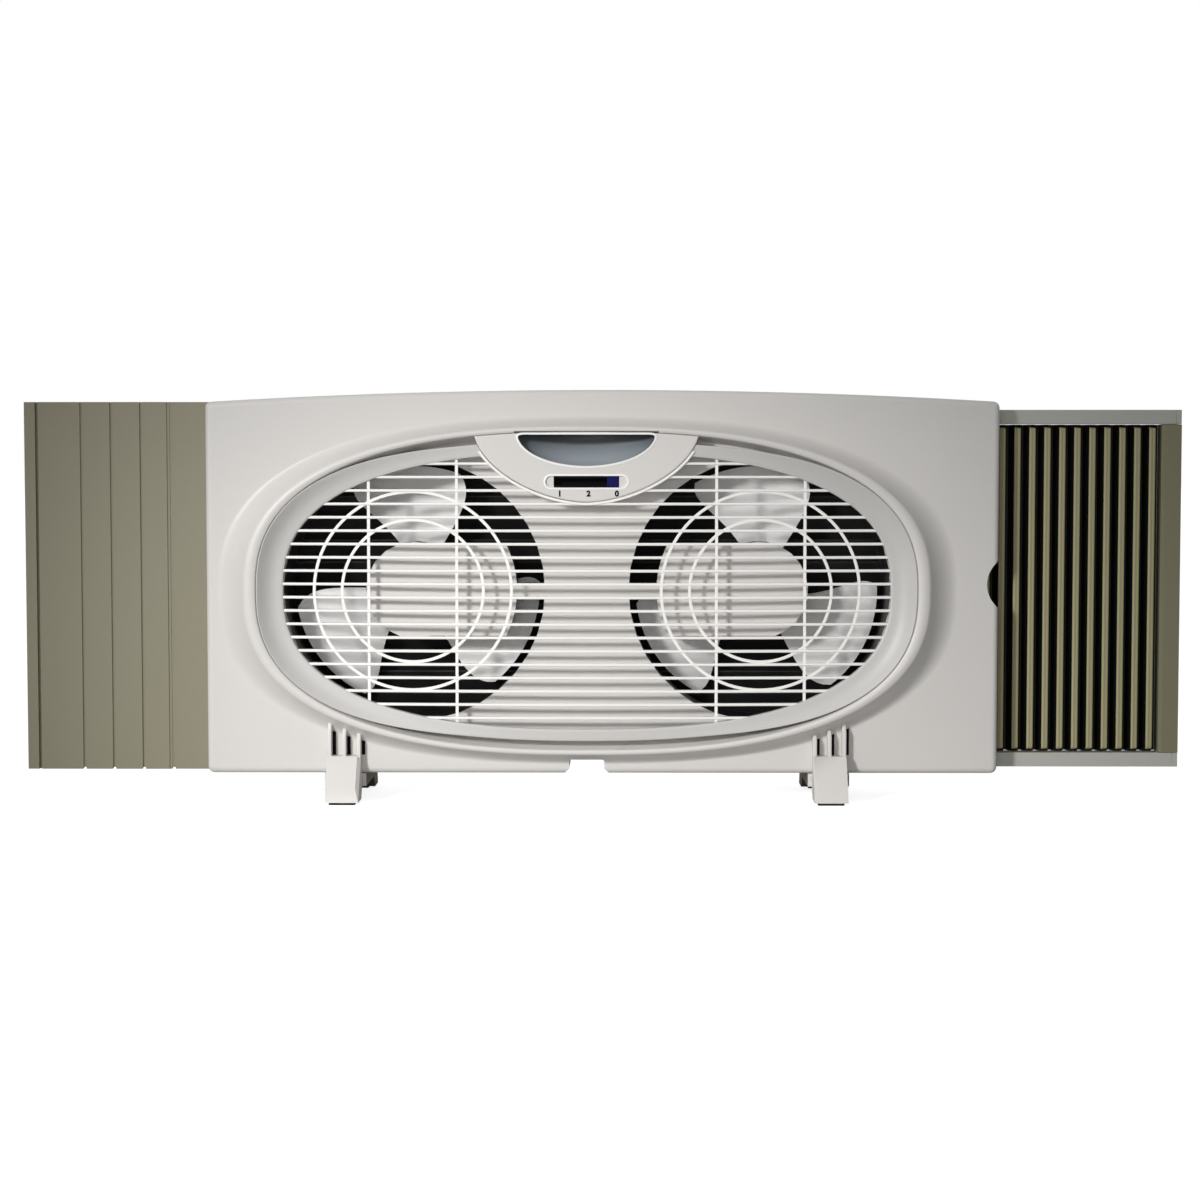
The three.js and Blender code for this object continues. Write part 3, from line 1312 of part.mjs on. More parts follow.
function footSide(side) {
  const group = new THREE.Group();
  group.add(
    piece(`foot_${side}`, foot(side), COLOURS.housing),
    piece(`foot_pad_${side}_front`, footPad(side, 'front'), COLOURS.rubber, 0.9),
    piece(`foot_pad_${side}_rear`, footPad(side, 'rear'), COLOURS.rubber, 0.9)
  );
  return group;
}

function housingGroup() {
  const group = new THREE.Group();
  group.add(
    piece('front_housing', frontHousing(), COLOURS.housing),
    piece('rear_housing', rearHousing(), COLOURS.housing),
    piece('front_grille', grille(), COLOURS.grille, 0.45),
    piece('duct_plate', ductPlate(), COLOURS.duct),
    piece('cord_gland', cordGland(), COLOURS.dark, 0.8)
  );
  Object.entries(SCREW_PLACES).forEach(([name, place]) => {
    const body = screw(SCREW_RADIUS, -SCREW_BITE, BACK_Y, place);
    group.add(piece(`housing_screw_${name}`, body, COLOURS.steel, 0.35, 1));
  });
  return group;
}

function controlGroup() {
  const group = new THREE.Group();
  group.add(
    piece('control_panel', controlPanel(), COLOURS.panel),
    piece('handle_scoop', handleScoop(), COLOURS.scoop, 0.5),
    piece('switch_body', switchBody(), COLOURS.dark, 0.6),
    piece('speed_slider', speedSlider(), COLOURS.knob, 0.35)
  );
  return group;
}

function curtainGroup() {
  const group = new THREE.Group();
  group.add(
    piece('top_rail', rail(RAIL_TOP_Z - RAIL_HEIGHT, -1), COLOURS.housing),
    piece('bottom_rail', rail(RAIL_BOTTOM_Z, 1), COLOURS.housing),
    piece('end_post', endPost(), COLOURS.post),
    piece('pleated_curtain', curtain(), COLOURS.curtain, 0.8),
    piece('curtain_anchor', curtainAnchor(), COLOURS.post)
  );
  return group;
}

const windowFan = new THREE.Group();
windowFan.add(housingGroup(), controlGroup(), fanSide('left'), fanSide('right'));
windowFan.add(curtainGroup(), footSide('left'), footSide('right'));
windowFan.add(piece('spacer_panel', spacerPanel(), COLOURS.taupe, 0.6));

export default windowFan;
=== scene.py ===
"""A window fan with two propeller fans behind one oval grille.

A pleated curtain draws out of the right end of the housing and a spacer panel slips into
the left end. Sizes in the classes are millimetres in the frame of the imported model, with
the room at -Y and Z up. Meshes are in metres.
"""

import json
import logging
import math
from contextlib import contextmanager
from dataclasses import dataclass, field
from enum import Enum
from typing import Callable, Iterator, Optional, Sequence

import bmesh
import bpy
from mathutils import Matrix, Vector
from mathutils.kdtree import KDTree

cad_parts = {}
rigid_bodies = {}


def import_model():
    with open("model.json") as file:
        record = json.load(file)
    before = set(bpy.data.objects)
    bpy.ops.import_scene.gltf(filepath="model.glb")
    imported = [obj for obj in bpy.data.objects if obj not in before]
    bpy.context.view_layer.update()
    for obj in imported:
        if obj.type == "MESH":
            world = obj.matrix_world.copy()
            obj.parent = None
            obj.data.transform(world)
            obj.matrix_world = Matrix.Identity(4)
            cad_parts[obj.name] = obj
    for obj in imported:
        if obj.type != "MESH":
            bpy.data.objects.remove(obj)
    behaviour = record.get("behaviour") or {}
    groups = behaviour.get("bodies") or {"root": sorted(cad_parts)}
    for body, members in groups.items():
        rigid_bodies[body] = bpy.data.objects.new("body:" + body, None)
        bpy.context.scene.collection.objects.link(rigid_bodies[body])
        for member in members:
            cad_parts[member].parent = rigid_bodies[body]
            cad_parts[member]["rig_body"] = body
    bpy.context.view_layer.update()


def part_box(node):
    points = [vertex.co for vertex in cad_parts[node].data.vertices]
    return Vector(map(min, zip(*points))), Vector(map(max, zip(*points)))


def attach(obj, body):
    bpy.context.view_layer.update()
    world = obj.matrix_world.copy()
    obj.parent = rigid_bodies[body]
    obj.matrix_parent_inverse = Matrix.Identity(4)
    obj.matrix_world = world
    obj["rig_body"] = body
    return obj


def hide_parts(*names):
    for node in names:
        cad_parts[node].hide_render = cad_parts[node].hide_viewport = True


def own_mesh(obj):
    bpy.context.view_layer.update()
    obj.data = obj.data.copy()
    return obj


MM = 0.001
LOG = logging.getLogger("window_fan")

Point = tuple[float, float, float]
Flat = tuple[float, float]


class Side(Enum):
    """The two fans and the two feet, by the end of the housing that they are near."""

    LEFT = "left"
    RIGHT = "right"

    @property
    def inward(self) -> int:
        """The way in X from this side to the middle of the housing."""
        return 1 if self is Side.LEFT else -1


class Ends(Enum):
    """How a loft ends: with a face at each end, with open edges, or joined to its start."""

    CAPPED = "capped"
    OPEN = "open"
    JOINED = "joined"


class Cut(Enum):
    """What one body does to another."""

    TAKE = "DIFFERENCE"
    ADD = "UNION"
    KEEP = "INTERSECT"


# ---- Finishes


def srgb(red: int, green: int, blue: int) -> tuple[float, float, float, float]:
    """Turn a display colour into the linear one that a shader takes.

    Args:
        red: Red from 0 to 255.
        green: Green from 0 to 255.
        blue: Blue from 0 to 255.

    Returns:
        The linear colour with full alpha.
    """

    def linear(value: int) -> float:
        """Turn one channel."""
        share = value / 255
        return share / 12.92 if share <= 0.04045 else ((share + 0.055) / 1.055) ** 2.4

    return linear(red), linear(green), linear(blue), 1.0


def maths(
    tree: bpy.types.NodeTree,
    operation: str,
    first: bpy.types.NodeSocket,
    second: "bpy.types.NodeSocket | float" = 0.0,
) -> bpy.types.NodeSocket:
    """Add a Math node on one socket and a socket or number.

    Args:
        tree: The tree that gets the node.
        operation: The node's operation.
        first: The first operand.
        second: The second operand, where the operation takes one.

    Returns:
        The node's output socket.
    """
    node = tree.nodes.new("ShaderNodeMath")
    node.operation = operation
    tree.links.new(first, node.inputs[0])
    if isinstance(second, float):
        node.inputs[1].default_value = second
    else:
        tree.links.new(second, node.inputs[1])
    return node.outputs[0]


def ramp(
    tree: bpy.types.NodeTree,
    value: bpy.types.NodeSocket,
    start: Flat = (0.0, 1.0),
    end: Flat = (0.0, 1.0),
) -> bpy.types.NodeSocket:
    """Add a Map Range node on a socket.

    Args:
        tree: The tree that gets the node.
        value: The socket with the value.
        start: The range that the value comes from.
        end: The range that it goes to.

    Returns:
        The node's output socket.
    """
    node = tree.nodes.new("ShaderNodeMapRange")
    limits = zip(("From Min", "From Max", "To Min", "To Max"), (*start, *end))
    for socket, limit in limits:
        node.inputs[socket].default_value = limit
    tree.links.new(value, node.inputs["Value"])
    return node.outputs["Result"]


def blended(
    tree: bpy.types.NodeTree,
    colour: bpy.types.NodeSocket,
    tone: tuple[int, int, int],
    factor: bpy.types.NodeSocket,
) -> bpy.types.NodeSocket:
    """Add a Mix node that goes from a colour to a plain tone.

    Args:
        tree: The tree that gets the node.
        colour: The socket with the colour.
        tone: The tone, as a display colour.
        factor: The tone's share.

    Returns:
        The mixed colour.
    """
    mix = tree.nodes.new("ShaderNodeMix")
    mix.data_type = "RGBA"
    tree.links.new(factor, mix.inputs["Factor"])
    tree.links.new(colour, mix.inputs["A"])
    mix.inputs["B"].default_value = srgb(*tone)
    return mix.outputs["Result"]


class MouldedSurface:
    """The node group behind every moulded finish: a fine die grain with a faint mottle."""

    NAME = "moulded_surface"

    @classmethod
    def group(cls) -> bpy.types.NodeTree:
        """Find the node group, or build it the first time.

        Returns:
            A group that puts out a colour, a roughness and a height.
        """
        known = bpy.data.node_groups.get(cls.NAME)
        if known:
            return known
        tree = bpy.data.node_groups.new(cls.NAME, "ShaderNodeTree")
        sockets = (
            ("Colour", "INPUT", "NodeSocketColor"),
            ("Grain Scale", "INPUT", "NodeSocketFloat"),
            ("Mottle", "INPUT", "NodeSocketFloat"),
            ("Roughness", "INPUT", "NodeSocketFloat"),
            ("Roughness Spread", "INPUT", "NodeSocketFloat"),
            ("Colour", "OUTPUT", "NodeSocketColor"),
            ("Roughness", "OUTPUT", "NodeSocketFloat"),
            ("Height", "OUTPUT", "NodeSocketFloat"),
        )
        for name, way, kind in sockets:
            tree.interface.new_socket(name=name, in_out=way, socket_type=kind)
        nodes, links = tree.nodes, tree.links
        given = nodes.new("NodeGroupInput")
        out = nodes.new("NodeGroupOutput")
        place = nodes.new("ShaderNodeTexCoord")
        grain = nodes.new("ShaderNodeTexNoise")
        grain.inputs["Detail"].default_value = 3.0
        grain.inputs["Roughness"].default_value = 0.55
        links.new(place.outputs["Object"], grain.inputs["Vector"])
        links.new(given.outputs["Grain Scale"], grain.inputs["Scale"])
        broad = nodes.new("ShaderNodeTexNoise")
        broad.inputs["Scale"].default_value = 9.0
        broad.inputs["Detail"].default_value = 4.0
        links.new(place.outputs["Object"], broad.inputs["Vector"])
        centred = maths(tree, "SUBTRACT", broad.outputs["Fac"], 0.5)
        swing = maths(tree, "MULTIPLY", centred, given.outputs["Mottle"])
        gain = maths(tree, "ADD", swing, 1.0)
        tone = nodes.new("ShaderNodeVectorMath")
        tone.operation = "SCALE"
        links.new(given.outputs["Colour"], tone.inputs[0])
        links.new(gain, tone.inputs["Scale"])
        links.new(tone.outputs["Vector"], out.inputs["Colour"])
        grainy = maths(tree, "SUBTRACT", grain.outputs["Fac"], 0.5)
        spread = maths(tree, "MULTIPLY", grainy, given.outputs["Roughness Spread"])
        rough = maths(tree, "ADD", spread, given.outputs["Roughness"])
        links.new(rough, out.inputs["Roughness"])
        links.new(grain.outputs["Fac"], out.inputs["Height"])
        return tree


@dataclass(frozen=True)
class MouldedPlastic:
    """A moulded plastic with its own colour, die grain and gloss."""

    name: str
    colour: tuple[int, int, int]
    slot: str
    roughness: float = 0.45
    spread: float = 0.12
    grain_scale: float = 900.0
    grain_depth: float = 0.25
    mottle: float = 0.05
    specular: float = 0.5

    def material(self) -> bpy.types.Material:
        """Find this finish's material, or build it the first time.

        Returns:
            The material.
        """
        known = bpy.data.materials.get(self.name)
        if known:
            return known
        material = bpy.data.materials.new(self.name)
        material.use_nodes = True
        tree = material.node_tree
        shader = tree.nodes["Principled BSDF"]
        surface = tree.nodes.new("ShaderNodeGroup")
        surface.node_tree = MouldedSurface.group()
        surface.inputs["Colour"].default_value = srgb(*self.colour)
        surface.inputs["Grain Scale"].default_value = self.grain_scale
        surface.inputs["Mottle"].default_value = self.mottle
        surface.inputs["Roughness"].default_value = self.roughness
        surface.inputs["Roughness Spread"].default_value = self.spread
        bump = tree.nodes.new("ShaderNodeBump")
        bump.inputs["Strength"].default_value = self.grain_depth
        bump.inputs["Distance"].default_value = 0.0002
        tree.links.new(surface.outputs["Height"], bump.inputs["Height"])
        tree.links.new(bump.outputs["Normal"], shader.inputs["Normal"])
        tree.links.new(self.tinted(tree, surface), shader.inputs["Base Color"])
        tree.links.new(surface.outputs["Roughness"], shader.inputs["Roughness"])
        shader.inputs["Specular IOR Level"].default_value = self.specular
        self.extras(shader)
        return material

    def tinted(
        self, tree: bpy.types.NodeTree, surface: bpy.types.Node
    ) -> bpy.types.NodeSocket:
        """Give the socket that holds the colour, here the surface's own."""
        return surface.outputs["Colour"]

    def extras(self, shader: bpy.types.Node) -> None:
        """Set what this finish needs besides colour, roughness and grain: here nothing."""


@dataclass(frozen=True)
class PaintedShadePlastic(MouldedPlastic):
    """A plastic with painted shade: a dark tone along one axis, as in the ducts behind the
    baffle.
    """

    axis: str = "Y"
    # The dark tone is painted shade, not the plastic's own colour.
    dark: tuple[int, int, int] = (14, 14, 14)
    dark_from: float = -28.9
    dark_over: float = 0.5

    def tinted(
        self, tree: bpy.types.NodeTree, surface: bpy.types.Node
    ) -> bpy.types.NodeSocket:
        """Mix the plastic with its painted shade by its place along one axis.

        Args:
            tree: The material's nodes.
            surface: The moulded surface in them.

        Returns:
            The mixed colour.
        """
        place = tree.nodes.new("ShaderNodeTexCoord")
        apart = tree.nodes.new("ShaderNodeSeparateXYZ")
        tree.links.new(place.outputs["Object"], apart.inputs["Vector"])
        start = (self.dark_from * MM, (self.dark_from + self.dark_over) * MM)
        depth = ramp(tree, apart.outputs[self.axis], start)
        return blended(tree, surface.outputs["Colour"], self.dark, depth)


@dataclass(frozen=True)
class ScoopPlastic(PaintedShadePlastic):
    """The scoop's plastic, with painted shade: a darker tone towards its roof."""

    axis: str = "Z"
    dark: tuple[int, int, int] = (62, 66, 70)
    dark_from: float = 287.0
    dark_over: float = 21.0


@dataclass(frozen=True)
class PleatedSheet(MouldedPlastic):
    """The curtain's sheet: olive crests, each with a painted sheen as a brownish stripe along its
    middle, and painted shade, near black, in the folds between them.
    """

    # The stripe is a painted highlight: it stands in for the sheen along each rounded crest.
    stripe: tuple[int, int, int] = (150, 137, 119)
    stripe_from: float = 0.7
    stripe_over: float = 0.5
    stripe_shift: float = 0.5
    # The dark tone is painted shade, in the folds and at the sheet's top and bottom ends.
    dark: tuple[int, int, int] = (8, 8, 7)
    dark_from: float = 2.7
    dark_over: float = 0.35

    def tinted(
        self, tree: bpy.types.NodeTree, surface: bpy.types.Node
    ) -> bpy.types.NodeSocket:
        """Lay the painted sheen along the middle of each crest, and the painted shade over the
        folds between.

        Args:
            tree: The material's nodes.
            surface: The moulded surface in them.

        Returns:
            The mixed colour.
        """
        across = tree.nodes.new("ShaderNodeAttribute")
        across.attribute_name = SideCurtain.ACROSS
        colour = surface.outputs["Colour"]
        layers = (
            (
                self.stripe, self.stripe_from, self.stripe_over, self.stripe_shift,
                (1.0, 0.0),
            ),
            (self.dark, self.dark_from, self.dark_over, 0.0, (0.0, 1.0)),
        )
        for tone, start, over, shift, share in layers:
            moved = maths(tree, "ADD", across.outputs["Fac"], shift)
            away = maths(tree, "ABSOLUTE", moved)
            edge = ramp(tree, away, (start, start + over), share)
            colour = blended(tree, colour, tone, edge)
        return colour


@dataclass(frozen=True)
class Metal(MouldedPlastic):
    """A metal, with its grain as fine tool marks."""

    def extras(self, shader: bpy.types.Node) -> None:
        """Make the surface metallic."""
        shader.inputs["Metallic"].default_value = 1.0


HOUSING = MouldedPlastic("warm_white_housing", (207, 204, 200), "housing_plastic", 0.42)
GRILLE = MouldedPlastic("white_grille", (238, 236, 232), "grille_plastic", 0.38)
# The lips are real, but their white, lighter than the housing, is partly a painted highlight
# along their edges.
LIP_HIGHLIGHT = MouldedPlastic("white_lip_painted_highlight", (240, 238, 235), "housing_plastic", 0.35)
# The baffle turns near black behind its front face, inside the ducts: painted shade.
DUCT = PaintedShadePlastic("light_gray_baffle", (209, 206, 203), "duct_plastic", 0.5)
# The grille's frame is a darker tone than the housing: painted shade.
FRAME_SHADE = MouldedPlastic("frame_painted_shade", (190, 188, 185), "grille_plastic", 0.45)
BLADE = MouldedPlastic("white_blade", (250, 249, 247), "grille_plastic", 0.4)
RAIL = MouldedPlastic("gray_rail", (178, 178, 170), "housing_plastic", 0.45)
# The scoop's plastic darkens towards its roof: painted shade.
SCOOP = ScoopPlastic("gray_scoop", (168, 176, 182), "scoop_plastic", 0.35, specular=0.6)
# Black plastic for the switch and the gland; on the feet it also makes the painted shadow beside
# the fins.
DARK = MouldedPlastic("black_plastic_and_painted_shadow", (9, 9, 11), "dark_plastic", 0.5, specular=0.05)
KNOB = MouldedPlastic("navy_knob", (16, 18, 78), "knob_plastic", 0.45, specular=0.08)
MARKS = MouldedPlastic("printed_marks", (10, 10, 12), "dark_plastic", 0.6, specular=0.1)
LOUVRE = MouldedPlastic("dark_louvre", (34, 34, 34), "dark_plastic", 0.5)
SPACER = MouldedPlastic("taupe_spacer", (133, 128, 107), "spacer_plastic", 0.5)
POST = MouldedPlastic("olive_post", (120, 117, 92), "post_plastic", 0.48)
FOOT_DARK = MouldedPlastic("brown_foot_base", (92, 86, 74), "dark_plastic", 0.5)
CURTAIN = PleatedSheet("pleated_sheet", (168, 165, 119), "curtain_sheet", 0.55, specular=0.3)
RUBBER = MouldedPlastic("foot_rubber", (38, 37, 36), "rubber", 0.75, grain_depth=0.5)
STEEL = Metal("plated_steel", (176, 178, 180), "steel", 0.3, grain_scale=1600.0)
BRONZE = Metal("sintered_bronze", (160, 116, 70), "bronze", 0.5, grain_depth=0.6)


# ---- Bench: the ways that every piece is made


class Bench:
    """Small steps of modelling, each with Blender's own operators."""

    @staticmethod
    def only(obj: bpy.types.Object) -> None:
        """Select one object, and nothing else, and make it active.

        Args:
            obj: The object.
        """
        bpy.ops.object.select_all(action="DESELECT")
        obj.select_set(True)
        bpy.context.view_layer.objects.active = obj

    @staticmethod
    def applied(obj: bpy.types.Object, modifier: bpy.types.Modifier) -> bpy.types.Object:
        """Apply one modifier.

        Args:
            obj: The piece that has it.
            modifier: The modifier.

        Returns:
            The piece.
        """
        Bench.only(obj)
        bpy.ops.object.modifier_apply(modifier=modifier.name)
        return obj

    @staticmethod
    @contextmanager
    def editing(obj: bpy.types.Object) -> Iterator[None]:
        """Hold one object in edit mode, in vertex selection.

        Args:
            obj: The object.

        Returns:
            The context, which ends in object mode.
        """
        Bench.only(obj)
        bpy.ops.object.mode_set(mode="EDIT")
        bpy.ops.mesh.select_mode(type="VERT")
        try:
            yield
        finally:
            bpy.ops.object.mode_set(mode="OBJECT")

    @staticmethod
    def loft(
        name: str, sections: Sequence[Sequence[Point]], ends: Ends = Ends.CAPPED
    ) -> bpy.types.Object:
        """Skin a row of sections by extruding a circle from each to the next.

        Args:
            name: The new piece's name.
            sections: Closed rows of points in millimetres, all of one length.
            ends: How the skin ends.

        Returns:
            The new piece.
        """
        bpy.ops.object.select_all(action="DESELECT")
        fill = "NGON" if ends is Ends.CAPPED else "NOTHING"
        bpy.ops.mesh.primitive_circle_add(vertices=len(sections[0]), fill_type=fill)
        obj = bpy.context.object
        obj.name = name
        rows = [[Vector(point) * MM for point in section] for section in sections]
        for vertex, place in zip(obj.data.vertices, rows[0]):
            vertex.co = place
        obj.location = (0.0, 0.0, 0.0)
        if ends is Ends.JOINED:
            rows.append(rows[0])
        with Bench.editing(obj):
            bpy.ops.mesh.select_all(action="SELECT")
            for before, after in zip(rows, rows[1:]):
                bpy.ops.mesh.extrude_region()
                shape = bmesh.from_edit_mesh(obj.data)
                index = {tuple(place): k for k, place in enumerate(before)}
                for vertex in shape.verts:
                    if vertex.select:
                        vertex.co = after[index[tuple(vertex.co)]]
                bmesh.update_edit_mesh(obj.data)
            bpy.ops.mesh.select_all(action="SELECT")
            if ends is Ends.JOINED:
                bpy.ops.mesh.remove_doubles(threshold=1e-7)
            bpy.ops.mesh.normals_make_consistent(inside=False)
        return obj

    @staticmethod
    def slab(name: str, outline: Sequence[Flat], low: float, high: float) -> bpy.types.Object:
        """Extrude a flat outline, drawn in X and Z, along Y."""
        return Bench.loft(name, [[(x, y, z) for x, z in outline] for y in (low, high)])

    @staticmethod
    def block(name: str, xs: Flat, ys: Flat, zs: Flat) -> bpy.types.Object:
        """Make a block between limits in millimetres."""
        corners = [(xs[0], zs[0]), (xs[1], zs[0]), (xs[1], zs[1]), (xs[0], zs[1])]
        return Bench.slab(name, corners, *ys)

    @staticmethod
    def band(
        name: str, outline: Sequence[Flat], profile: Sequence[Flat]
    ) -> bpy.types.Object:
        """Run a closed profile round an outline.

        Args:
            name: The new piece's name.
            outline: A closed outline in X and Z, counterclockwise seen from the room.
            profile: Points as distance outside the outline and Y.

        Returns:
            The new ring.
        """
        rows = [[(x, y, z) for x, z in grown(outline, out)] for out, y in profile]
        return Bench.loft(name, rows, Ends.JOINED)

    @staticmethod
    def carve(
        obj: bpy.types.Object, *others: bpy.types.Object, how: Cut = Cut.TAKE
    ) -> bpy.types.Object:
        """Cut other bodies from a piece, or join them to it, and remove them.

        Args:
            obj: The piece that stays.
            others: The bodies that it loses or gains.
            how: Whether they are taken away, added or all that is kept.

        Returns:
            The piece.
        """
        for other in others:
            modifier = obj.modifiers.new("carve", "BOOLEAN")
            modifier.operation = how.value
            modifier.solver = "EXACT"
            modifier.object = other
            Bench.applied(obj, modifier)
            bpy.data.objects.remove(other)
        return obj

    @staticmethod
    def together(name: str, parts: Sequence[bpy.types.Object]) -> bpy.types.Object:
        """Join several bodies into one object without fusing them.

        Args:
            name: The object's name.
            parts: The bodies.

        Returns:
            The object.
        """
        Bench.only(parts[0])
        for part in parts:
            part.select_set(True)
        bpy.ops.object.join()
        parts[0].name = name
        return parts[0]

    @staticmethod
    def rounded(
        obj: bpy.types.Object, width: float, segments: int = 2, angle: float = 35.0
    ) -> bpy.types.Object:
        """Round the edges that turn by more than an angle.

        Args:
            obj: The piece.
            width: The round's width in millimetres.
            segments: Faces across the round.
            angle: The least turn that counts as an edge, in degrees.

        Returns:
            The piece.
        """
        modifier = obj.modifiers.new("round", "BEVEL")
        modifier.width = width * MM
        modifier.segments = segments
        modifier.limit_method = "ANGLE"
        modifier.angle_limit = math.radians(angle)
        modifier.use_clamp_overlap = True
        return Bench.applied(obj, modifier)

    @staticmethod
    def bevelled(
        obj: bpy.types.Object,
        chosen: Callable[[Vector, Vector], bool],
        width: float,
        segments: int = 1,
    ) -> bpy.types.Object:
        """Bevel the edges that a rule picks.

        Args:
            obj: The piece.
            chosen: Says of an edge's two ends, in millimetres, whether it is bevelled.
            width: The bevel's width in millimetres.
            segments: Faces across the bevel.

        Returns:
            The piece.
        """
        with Bench.editing(obj):
            bpy.ops.mesh.select_mode(type="EDGE")
            bpy.ops.mesh.select_all(action="DESELECT")
            shape = bmesh.from_edit_mesh(obj.data)
            for edge in shape.edges:
                ends = [vertex.co / MM for vertex in edge.verts]
                edge.select_set(chosen(*ends))
            bmesh.update_edit_mesh(obj.data)
            bpy.ops.mesh.bevel(offset=width * MM, segments=segments, clamp_overlap=True)
        return obj

    @staticmethod
    def thickened(obj: bpy.types.Object, wall: float) -> bpy.types.Object:
        """Give a skin a wall behind it.

        Args:
            obj: The skin.
            wall: The wall's thickness in millimetres.

        Returns:
            The piece.
        """
        modifier = obj.modifiers.new("wall", "SOLIDIFY")
        modifier.thickness = wall * MM
        modifier.offset = -1.0
        modifier.use_even_offset = True
        return Bench.applied(obj, modifier)

    @staticmethod
    def smooth(obj: bpy.types.Object, angle: float = 35.0) -> bpy.types.Object:
        """Shade a piece smooth but for sharp edges, weighted by face area.

        Args:
            obj: The piece.
            angle: The turn past which an edge stays sharp, in degrees.

        Returns:
            The piece.
        """
        Bench.only(obj)
        bpy.ops.object.shade_smooth_by_angle(angle=math.radians(angle))
        modifier = obj.modifiers.new("weigh", "WEIGHTED_NORMAL")
        modifier.keep_sharp = True
        return Bench.applied(obj, modifier)

    @staticmethod
    def copied(node: str, name: str) -> bpy.types.Object:
        """Copy a CAD node's mesh into a new piece and merge its loose triangles.

        Args:
            node: The CAD node.
            name: The new piece's name.

        Returns:
            The copy, with flat faces joined up.
        """
        obj = bpy.data.objects.new(name, bpy.data.objects[node].data.copy())
        bpy.context.scene.collection.objects.link(obj)
        obj.data.materials.clear()
        with Bench.editing(obj):
            bpy.ops.mesh.select_all(action="SELECT")
            bpy.ops.mesh.remove_doubles(threshold=2e-6)
            bpy.ops.mesh.dissolve_limited(angle_limit=math.radians(1.0))
        return obj

    @staticmethod
    def refined(
        node: str, finish: MouldedPlastic, width: float = 0.4, segments: int = 2
    ) -> bpy.types.Object:
        """Replace a CAD node by a copy with rounded edges and a finish.

        Args:
            node: The CAD node.
            finish: The finish of its faces.
            width: How wide its edges are rounded, in millimetres.
            segments: Faces across each round.

        Returns:
            The new piece.
        """
        obj = Bench.rounded(Bench.copied(node, f"{node}_piece"), width, segments)
        return Bench.dress(Bench.smooth(obj), finish, node)

    @staticmethod
    def dress(
        obj: bpy.types.Object, finish: MouldedPlastic, *nodes: str
    ) -> bpy.types.Object:
        """Give a piece its finish and put it in the place of CAD nodes.

        Args:
            obj: The piece.
            finish: Its finish.
            nodes: The CAD nodes that it stands for. It rides on the first one's body.

        Returns:
            The piece.
        """
        obj.data.materials.clear()
        obj.data.materials.append(finish.material())
        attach(obj, bpy.data.objects[nodes[0]]["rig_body"])
        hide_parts(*nodes)
        LOG.info("%s: %d faces", obj.name, len(obj.data.polygons))
        return obj

    @staticmethod
    def painted(node: str, finish: MouldedPlastic) -> None:
        """Keep a CAD node as it is and give it a finish.

        Args:
            node: The CAD node.
            finish: Its finish.
        """
        obj = bpy.data.objects[node]
        obj.data.materials.clear()
        obj.data.materials.append(finish.material())
        LOG.info("%s: kept, %s", node, finish.name)


def box_mm(node: str) -> tuple[Vector, Vector]:
    """Give the two corners of a CAD node's box in millimetres."""
    low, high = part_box(node)
    return Vector(low) / MM, Vector(high) / MM


def grown(outline: Sequence[Flat], out: float) -> list[Flat]:
    """Move a closed outline outwards.

    Args:
        outline: Points in X and Z, counterclockwise.
        out: How far, in millimetres. Below zero it moves inwards.

    Returns:
        The moved points, as many as there were.
    """
    moved = []
    for k, here in enumerate(outline):
        before, after = Vector(outline[k - 1]), Vector(outline[(k + 1) % len(outline)])
        at = Vector(here)
        first, second = (at - before).normalized(), (after - at).normalized()
        bisector = (first + second).normalized()
        normal = Vector((bisector.y, -bisector.x))
        stretch = max(bisector.dot(second), 0.35)
        moved.append(tuple(at + normal * (out / stretch)))
    return moved


def arc(
    middle: Flat, radius: float, start: float, end: float, steps: int
) -> list[Flat]:
    """Points along an arc, both ends included, with angles in radians."""
    angles = [start + (end - start) * k / steps for k in range(steps + 1)]
    return [(middle[0] + radius * math.cos(a), middle[1] + radius * math.sin(a)) for a in angles]


def circle(middle: Flat, radius: float, sides: int) -> list[Flat]:
    """Points round a circle."""
    return arc(middle, radius, 0.0, 2 * math.pi * (sides - 1) / sides, sides - 1)


# ---- The oval that the bezel, grille and baffle share


@dataclass(frozen=True)
class Oval:
    """The flattened oval round both fans."""

    x: float = -12.7
    z: float = 178.3
    power: float = 2.5
    sides: int = 288
    crest: Flat = (287.0, 137.5)
    rim: Flat = (277.0, 133.0)
    rim_foot: Flat = (272.0, 128.5)

    def point(self, size: Flat, angle: float) -> Flat:
        """Give the oval's point at an angle.

        Args:
            size: Half the oval's width and height.
            angle: The angle in radians.

        Returns:
            X and Z of the point.
        """
        c, s = math.cos(angle), math.sin(angle)
        share = 2 / self.power
        across = size[0] * math.copysign(abs(c) ** share, c)
        return self.x + across, self.z + size[1] * math.copysign(abs(s) ** share, s)

    def loop(self, size: Flat, sides: Optional[int] = None) -> list[Flat]:
        """Give the whole oval, counterclockwise."""
        count = sides or self.sides
        return [self.point(size, 2 * math.pi * (k + 0.5) / count) for k in range(count)]

    def reach(self, size: Flat, height: float) -> float:
        """Give half the oval's width at a height from its middle."""
        share = min(abs(height / size[1]), 1.0) ** self.power
        return size[0] * (1 - share) ** (1 / self.power)

    def rise(self, size: Flat, across: float) -> float:
        """Give half the oval's height at a distance across from its middle."""
        return self.reach((size[1], size[0]), across)


OVAL = Oval()
FAN_XS: Flat = (-158.2, 132.8)


# ---- Housing


